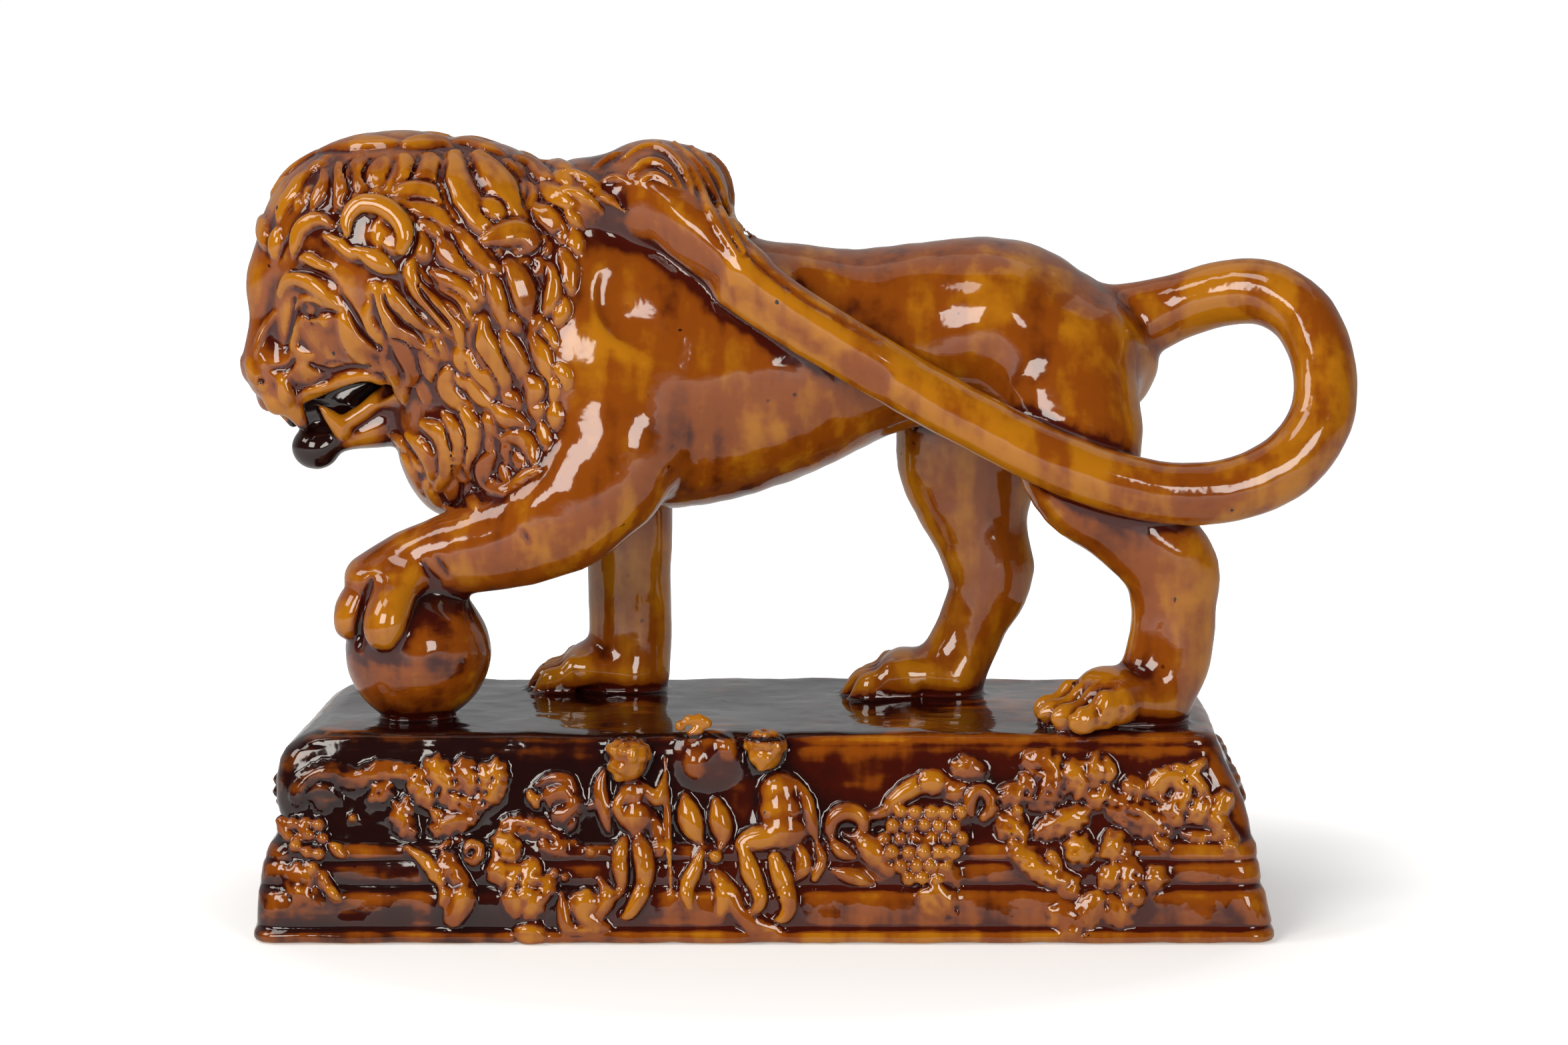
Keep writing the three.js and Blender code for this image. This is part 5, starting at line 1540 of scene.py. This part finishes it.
def treacle_glaze(sizes):
    """Treacle-brown lead glaze over buff earthenware, dipped and fired once: it runs thin and honey gold
    over ridges, pools purple-brown in hollows, runs down in streaks and is glossy as glass. Deep recesses
    and the throat also get painted shade, and the plinth's top a painted reflection."""
    material = bpy.data.materials.new("treacle_lead_glaze")
    material.use_nodes = True
    tree = material.node_tree
    tree.nodes.clear()
    spot = add_node(tree, "ShaderNodeTexCoord").outputs["Object"]

    def attribute(name):
        return add_node(tree, "ShaderNodeAttribute", attribute_name=name).outputs["Fac"]

    def maths(kind, a, b=0.0, c=0.0):
        return add_node(tree, "ShaderNodeMath", {0: a, 1: b, 2: c}, operation=kind).outputs[0]

    def ranged(value, low, high, out_low=0.0, out_high=1.0):
        sockets = {"Value": value, "From Min": low, "From Max": high, "To Min": out_low, "To Max": out_high}
        return add_node(tree, "ShaderNodeMapRange", sockets, interpolation_type="SMOOTHSTEP").outputs[0]

    def noise(size, stretch=(1, 1, 1), detail=3.0):
        """Noise of a size in mm, longer along an axis where stretch is less than 1."""
        place = add_node(tree, "ShaderNodeMapping", {"Vector": spot, "Scale": stretch}).outputs[0]
        sockets = {"Vector": place, "Scale": MM / size, "Detail": detail}
        return add_node(tree, "ShaderNodeTexNoise", sockets).outputs[0]

    def mix(factor, a, b):
        return add_node(tree, "ShaderNodeMix", {0: factor, 6: a, 7: b}, data_type="RGBA").outputs[2]

    thin, honey, pooled, iron, clay = (
        (*colour, 1.0)
        for colour in (
            sizes.thin_glaze, sizes.honey_glaze, sizes.pooled_glaze, sizes.iron_glaze, sizes.bare_clay
        )
    )
    # The flood attribute carries the dark glaze, painted shade at the throat and a painted reflection on
    # the plinth's top
    flood_and_painted_light = attribute("flood_and_painted_light")
    # Thickness of the glaze, from 0 on a worn ridge to 1 in a pool; the recess term and the flood also
    # carry painted shade
    depth = maths("MULTIPLY_ADD", attribute("recess_pool_and_shade"), 0.46, -0.02)
    depth = maths("MULTIPLY_ADD", attribute("hollow"), 0.66, depth)
    for pattern, low, high, thinner, thicker in (
        (noise(RUNS, (1, 1, 0.16)), 0.36, 0.7, -0.08, 0.25),
        (noise(BLOTCHES), 0.3, 0.7, -0.09, 0.15),
        (noise(MOTTLING, detail=4), 0.3, 0.7, -0.03, 0.03),
    ):
        depth = maths("ADD", depth, ranged(pattern, low, high, thinner, thicker))
    # Where the dark glaze floods the plinth, it lies in level streaks
    streaks = ranged(noise(STREAKS, (0.22, 1, 1)), 0.34, 0.66, -0.3, 0.16)
    depth = maths("MULTIPLY_ADD", streaks, maths("ABSOLUTE", flood_and_painted_light), depth)
    depth = maths("MULTIPLY_ADD", flood_and_painted_light, 0.62, depth)
    body = mix(ranged(depth, 0.02, 0.36), thin, honey)
    body = mix(ranged(depth, 0.38, 0.8), body, pooled)
    body = mix(ranged(maths("MULTIPLY_ADD", depth, 0.5, flood_and_painted_light), 0.9, 1.5), body, iron)
    # Specks of iron from the clay, ragged at the edge and in patches
    specks = add_node(tree, "ShaderNodeTexVoronoi", {"Vector": spot, "Scale": MM / SPECKS})
    edges = ranged(noise(SPECK_EDGES), 0.3, 0.7, -0.06, 0.06)
    ragged = maths("ADD", specks.outputs["Distance"], edges)
    rare = ranged(noise(SPECK_PATCHES), 0.55, 0.62)
    body = mix(maths("MULTIPLY", ranged(ragged, 0.12, 0.04), rare), body, iron)
    bare = maths("ADD", attribute("bare"), ranged(noise(FOOT_EDGE), 0.3, 0.7, -0.2, 0.2))
    bare = ranged(bare, 0.4, 0.6)
    height = noise(RIPPLES, detail=2)
    ripples = {"Height": height, "Strength": RIPPLE_STRENGTH, "Distance": RIPPLE_DEPTH}
    sockets = {
        "Base Color": mix(bare, body, clay),
        "Roughness": ranged(bare, 0, 1, LEAD_GLAZE_ROUGHNESS, BARE_CLAY_ROUGHNESS),
        "IOR": LEAD_GLAZE_IOR,
        "Normal": add_node(tree, "ShaderNodeBump", ripples).outputs[0],
    }
    shader = add_node(tree, "ShaderNodeBsdfPrincipled", sockets).outputs[0]
    add_node(tree, "ShaderNodeOutputMaterial", {"Surface": shader})
    return material


def thinned_skin(clay):
    """The clay's skin as a mesh in metres, thinned out to the budget of triangles."""
    vertices, faces = clay.skin_mesh()
    mesh = bpy.data.meshes.new("lion_skin")
    mesh.vertices.add(len(vertices))
    mesh.vertices.foreach_set("co", (vertices / MM).astype(np.float32).ravel())
    mesh.loops.add(faces.size)
    mesh.loops.foreach_set("vertex_index", faces.astype(np.int32).ravel())
    mesh.polygons.add(len(faces))
    mesh.polygons.foreach_set("loop_start", np.arange(0, faces.size, 4, dtype=np.int32))
    mesh.update(calc_edges=True)
    mesh.validate()
    piece = bpy.data.objects.new("glazed_lion", mesh)
    bpy.context.scene.collection.objects.link(piece)
    thin = piece.modifiers.new("Thin out", "DECIMATE")
    thin.ratio = min(1.0, FACE_BUDGET / (2 * len(faces)))
    thin.use_collapse_triangulate = True
    evaluated = piece.evaluated_get(bpy.context.evaluated_depsgraph_get())
    piece_mesh = bpy.data.meshes.new_from_object(evaluated)
    piece.modifiers.clear()
    piece.data = piece_mesh
    bpy.data.meshes.remove(mesh)
    piece_mesh.name = "glazed_lion"
    return piece


# How strongly a hollow and a groove draw the glaze, how strongly a deep recess draws pooled glaze and
# painted shade, and what lies on flat clay
HOLLOW_DRAW = 3.6
GROOVE_DRAW = 4.4
FLAT_HOLLOW = 0.26
RECESS_SHADE_DRAW = 3.0
FLAT_RECESS_SHADE = 0.4
FOOT_LINE = 0.35  # mm: the height that the clay is left bare to


def pooling(clay, places):
    """How hollow the clay is at places over a few millimetres, and over about a centimetre, from 0
    on a ridge to 1."""
    filled = np.clip(0.5 - clay.skin / (2.5 * clay.grid), 0, 1)
    near = box_blur(filled, 3, 2)
    coarse = near[::2, ::2, ::2]
    on_coarse = clay.low + (places - clay.low) / 2
    groove = clay.sample(on_coarse, box_blur(coarse, 3, 1)) - 0.5
    hollow = (clay.sample(places, near) - 0.5) * HOLLOW_DRAW + groove * GROOVE_DRAW + FLAT_HOLLOW
    # Over about a centimetre, deep places are darkened both as pooled glaze and as painted shade
    recess_pool_and_shade = (clay.sample(on_coarse, box_blur(coarse, 5, 2)) - 0.5) * RECESS_SHADE_DRAW + FLAT_RECESS_SHADE
    return np.clip(hollow, 0, 1), np.clip(recess_pool_and_shade, 0, 1)


def skin_the_clay(lion, sizes):
    """The clay's skin, with where the glaze pools on it and where shade is painted on it."""
    clay = lion.clay
    piece = thinned_skin(clay)
    mesh = piece.data
    places = np.empty(len(mesh.vertices) * 3, np.float32)
    mesh.vertices.foreach_get("co", places)
    places = places.reshape(-1, 3).astype(float) * MM
    hollow, recess_pool_and_shade = pooling(clay, places)
    flood_and_painted_light = flood_and_painted_light_at(lion, places)
    bare = np.where(places[:, 2] < FOOT_LINE, 1.0, 0.0)
    for name, values in (("hollow", hollow), ("recess_pool_and_shade", recess_pool_and_shade), ("flood_and_painted_light", flood_and_painted_light), ("bare", bare)):
        layer = mesh.attributes.new(name, "FLOAT", "POINT")
        layer.data.foreach_set("value", values.astype(np.float32))
    mesh.polygons.foreach_set("use_smooth", np.ones(len(mesh.polygons), bool))
    mesh.normals_split_custom_set_from_vertices(clay.normals(places, 0.9))
    mesh.materials.append(treacle_glaze(sizes))
    return piece


def plinth_flood_and_reflection(lion, places):
    """How deep the dark glaze lies on the plinth, and on its top, at places on the skin; the top is painted
    lighter towards the right as a painted reflection of the backdrop.
    """
    x, y, z = places.T
    top = lion.height
    on_plinth = ramp(top + 1.2 - z, 1.5)
    on_top = ramp(z - top + 1.6, 1.2) * on_plinth
    leftward = ramp(-x + 24, 110)
    height = np.clip(z, 0, top) * DRAWN_HEIGHT / top
    inset = np.interp(height, PLINTH_LEVELS[:, 0], PLINTH_LEVELS[:, 1])
    stands_off = ramp(np.abs(y) - (lion.depth / 2 - inset) - 0.6, 2.1)
    in_field = ramp(height - 28, 2)
    # The field between the reliefs is dark; what stands off it has shed its glaze
    field = np.where(y < 0, 0.56 + 0.52 * leftward, 0.5 + 0.3 * leftward)
    bands = np.where(y < 0, 0.25 + 0.57 * leftward, 0.4 + 0.3 * leftward)
    # but for the top of the left corner and the second child's bowed back
    shed = stands_off * (1 - 0.75 * ramp(-x - 108, 14) * ramp(height - 36, 6))
    shed = shed * (1 - 0.8 * np.clip(1.4 - np.abs(x + 15.6) / 9, 0, 1) * ramp(height - 44, 4))
    flood_and_painted_light = on_plinth * (field * in_field + bands * (1 - in_field)) * (1 - shed)
    flood_and_painted_light = flood_and_painted_light + on_plinth * shed * (0.24 * ramp(np.abs(x - 5) - 45, 20) - 0.12)
    # The top is flooded dark, and painted lighter towards the right as a painted reflection
    return np.maximum(flood_and_painted_light, on_top * (1.5 - 0.8 * ramp(x, 90)))


def inside_mouth(lion, places):
    """Which places on the skin are inside the mouth, from 0 to 1."""
    from_middle = (places - lion.figure(HEAD_MIDDLE)) / lion.share
    forward, left, up = from_middle @ HEAD_FORWARD, np.abs(from_middle @ HEAD_LEFT), from_middle[:, 2]
    roof = np.interp(forward, [-6, 3, 16], [-9, -10, -14])
    floor = np.interp(forward, [-6, 3, 10], [-12.6, -17, -21])
    return ramp(5.6 - left, 1.5) * (up < roof) * (up > floor) * (forward > -7) * (forward < 12)


def flood_and_painted_light_at(lion, places):
    """How deep the dark glaze floods the clay at places on the skin: 0 is none, and below 0 the honey glaze
    is thinner too. It also carries painted shade at the throat and a painted reflection on the plinth's
    top."""
    flood_and_painted_light = plinth_flood_and_reflection(lion, places)
    ball = lion.figure([*BALL_AT, 0]) + [0, 0, lion.ball]
    from_ball = np.linalg.norm(places - ball, axis=1) - lion.ball
    flood_and_painted_light = np.maximum(flood_and_painted_light, 0.62 * np.clip(1.2 - from_ball / 1.4, 0, 1))
    # The locks of the throat, under the head, are painted darker as painted shade
    from_throat = np.linalg.norm(places - lion.figure([-54, 0, 46]), axis=1) / lion.share
    flood_and_painted_light = flood_and_painted_light + 0.25 * np.clip(2 - from_throat / 17, 0, 1)
    # The glaze is also darker round the bend of the tail
    flood_and_painted_light = flood_and_painted_light + 0.14 * ramp(places[:, 0] - 146, 12) * ramp(places[:, 2] - lion.height - 30, 10)
    chin = lion.figure(lion.on_head([[8, 0, -22.6]])[0])
    from_chin = np.linalg.norm(places - chin, axis=1) / lion.share
    flood_and_painted_light = np.maximum(flood_and_painted_light, 1.5 * np.clip(2.5 - from_chin / 3, 0, 1))
    return np.maximum(flood_and_painted_light, 1.4 * inside_mouth(lion, places))


class POTTERY_OT_lion(bpy.types.Operator):
    """Model the lion and its plinth in clay and glaze them"""

    bl_idname = "pottery.lion"
    bl_label = "Lion on its plinth"

    def execute(self, context):
        sizes = context.scene.pottery_lion
        lion = Lion(sizes)
        model_body(lion)
        model_raised_leg(lion)
        lion.clay.soften()
        lion.clay.soften()
        undulate(lion.clay, BODY_SWELLS)
        press_flats(lion)
        model_head_and_neck(lion)
        model_tail(lion)
        model_mane(lion)
        model_tuft(lion)
        model_plinth(lion)
        model_reliefs(lion)
        model_plain_sides(lion)
        undulate(lion.clay, SKIN_SWELLS)
        lion.clay.cut(*floor_slab(lion.clay))
        lion.clay.soften(0.4)
        piece = skin_the_clay(lion, sizes)
        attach(piece, "root")
        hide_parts(NODE)
        return {"FINISHED"}


def floor_slab(clay):
    """Everything below the underside, to be cut away flat."""
    slices, (_, _, z) = clay.window([-BEYOND] * 3, [BEYOND, BEYOND, 6])
    shape = tuple(part.stop - part.start for part in slices)
    return slices, np.broadcast_to(z.astype(np.float32), shape), 0.3


# Softboxes: name, place, size and how bright their faces are
SOFTBOXES = (
    ("window_left", (-0.66, -1.3, 0.7), (0.66, 0.6), 10),
    ("window_right", (0.66, -1.4, 0.5), (0.4, 0.6), 10),
    ("window_far_left", (-1.6, -0.6, 1.4), (0.8, 0.8), 7),
    ("window_high", (-0.8, -0.8, 1.7), (0.6, 0.5), 5.5),
    ("sky", (0, 0.3, 1.9), (2.2, 1.2), 0.5),
)


WINDOW_LIGHT = linear("#FFF9F1")
WHITE = (*linear("#FFFFFF"), 1)
PAPER = (*linear("#EBEDF0"), 1)
LIGHTS_AIM = Vector((0, 0, 0.12))
FLOOR_SIZE = 12
FLOOR_DROP = 0.0002  # m that the paper lies below the foot


def white_room():
    """A white backdrop behind the lion and a dim room before it, which the glaze mirrors."""
    world = bpy.data.worlds.new("white_room")
    world.use_nodes = True
    tree = world.node_tree
    tree.nodes.clear()
    facing = add_node(tree, "ShaderNodeTexCoord").outputs["Generated"]
    backward = add_node(tree, "ShaderNodeSeparateXYZ", {0: facing}).outputs["Y"]
    sockets = {"Value": backward, "From Min": -0.1, "From Max": 0.5, "To Min": 0.03, "To Max": 0.42}
    glow = add_node(tree, "ShaderNodeMapRange", sockets).outputs[0]
    room = add_node(tree, "ShaderNodeBackground", {"Color": WHITE, "Strength": glow}).outputs[0]
    backdrop = add_node(tree, "ShaderNodeBackground", {"Color": WHITE, "Strength": 1.0}).outputs[0]
    seen = add_node(tree, "ShaderNodeLightPath").outputs["Is Camera Ray"]
    mixed = add_node(tree, "ShaderNodeMixShader", {0: seen, 1: room, 2: backdrop}).outputs[0]
    add_node(tree, "ShaderNodeOutputWorld", {"Surface": mixed})
    return world


def white_paper():
    """Seamless white paper that glows, a painted light, so that it burns out to white in the camera; the
    glow fades near the lion, which dims the paper round its shadow.
    """
    material = bpy.data.materials.new("white_paper")
    material.use_nodes = True
    tree = material.node_tree
    place = add_node(tree, "ShaderNodeTexCoord").outputs["Object"]
    away = add_node(tree, "ShaderNodeVectorMath", {0: place}, operation="LENGTH").outputs["Value"]
    # The paper's glow is weaker near the lion, as painted shade round its foot
    sockets = {"Value": away, "From Min": 0.15, "From Max": 0.3, "To Min": 0.3, "To Max": 1.0}
    glow_away_from_lion = add_node(tree, "ShaderNodeMapRange", sockets).outputs[0]
    seen = add_node(tree, "ShaderNodeLightPath").outputs["Is Camera Ray"]
    sockets = {"Value": seen, "From Min": 0, "From Max": 1, "To Min": 0.12, "To Max": glow_away_from_lion}
    glow = add_node(tree, "ShaderNodeMapRange", sockets).outputs[0]
    shader = tree.nodes["Principled BSDF"]
    shader.inputs["Base Color"].default_value = PAPER
    shader.inputs["Roughness"].default_value = 0.9
    shader.inputs["Specular IOR Level"].default_value = 0.2
    shader.inputs["Emission Color"].default_value = WHITE
    tree.links.new(glow, shader.inputs["Emission Strength"])
    return material


class POTTERY_OT_studio(bpy.types.Operator):
    """Set the lion on a white floor under soft light, seen as in the photograph"""

    bl_idname = "pottery.studio"
    bl_label = "Studio"

    def execute(self, context):
        scene = context.scene
        scene.view_settings.view_transform = "Standard"
        camera = bpy.data.cameras.new("camera")
        camera.lens = LENS
        camera.sensor_width = SENSOR
        camera.clip_end = 20
        eye = bpy.data.objects.new("camera", camera)
        eye.location = EYE / MM
        eye.rotation_euler = Vector(FORWARD).to_track_quat("-Z", "Y").to_euler()
        scene.collection.objects.link(eye)
        scene.camera = eye

        scene.world = white_room()
        bpy.ops.mesh.primitive_plane_add(size=FLOOR_SIZE, location=(0, 0, -FLOOR_DROP))
        floor = context.object
        floor.name = "white_floor"
        floor.data.materials.append(white_paper())
        for name, place, size, radiance in SOFTBOXES:
            light = bpy.data.lights.new(name, "AREA")
            light.shape = "RECTANGLE"
            light.size, light.size_y = size
            light.color = WINDOW_LIGHT
            light.energy = radiance * math.pi * size[0] * size[1]
            lamp = bpy.data.objects.new(name, light)
            lamp.location = place
            aim = LIGHTS_AIM - Vector(place)
            lamp.rotation_euler = aim.to_track_quat("-Z", "Y").to_euler()
            scene.collection.objects.link(lamp)
        return {"FINISHED"}


class POTTERY_PT_panel(bpy.types.Panel):
    """Sizes, colours and making of the lion"""

    bl_idname = "POTTERY_PT_panel"
    bl_label = "Pottery lion"
    bl_space_type = "VIEW_3D"
    bl_region_type = "UI"
    bl_category = "Pottery lion"

    def draw(self, context):
        for name in PotteryLionSettings.__annotations__:
            self.layout.prop(context.scene.pottery_lion, name)
        for operator in OPERATORS:
            self.layout.operator(operator.bl_idname)


OPERATORS = (POTTERY_OT_lion, POTTERY_OT_studio)
CLASSES = (PotteryLionSettings, *OPERATORS, POTTERY_PT_panel)


def register():
    """Makes the settings, the operators and the panel known to Blender."""
    for each in CLASSES:
        bpy.utils.register_class(each)
    bpy.types.Scene.pottery_lion = bpy.props.PointerProperty(type=PotteryLionSettings)


def unregister():
    """Takes them away again."""
    del bpy.types.Scene.pottery_lion
    for each in reversed(CLASSES):
        bpy.utils.unregister_class(each)


def main():
    """Makes the lion and its stage."""
    register()
    bpy.ops.pottery.lion()
    bpy.ops.pottery.studio()


if __name__ == "__main__":
    main()
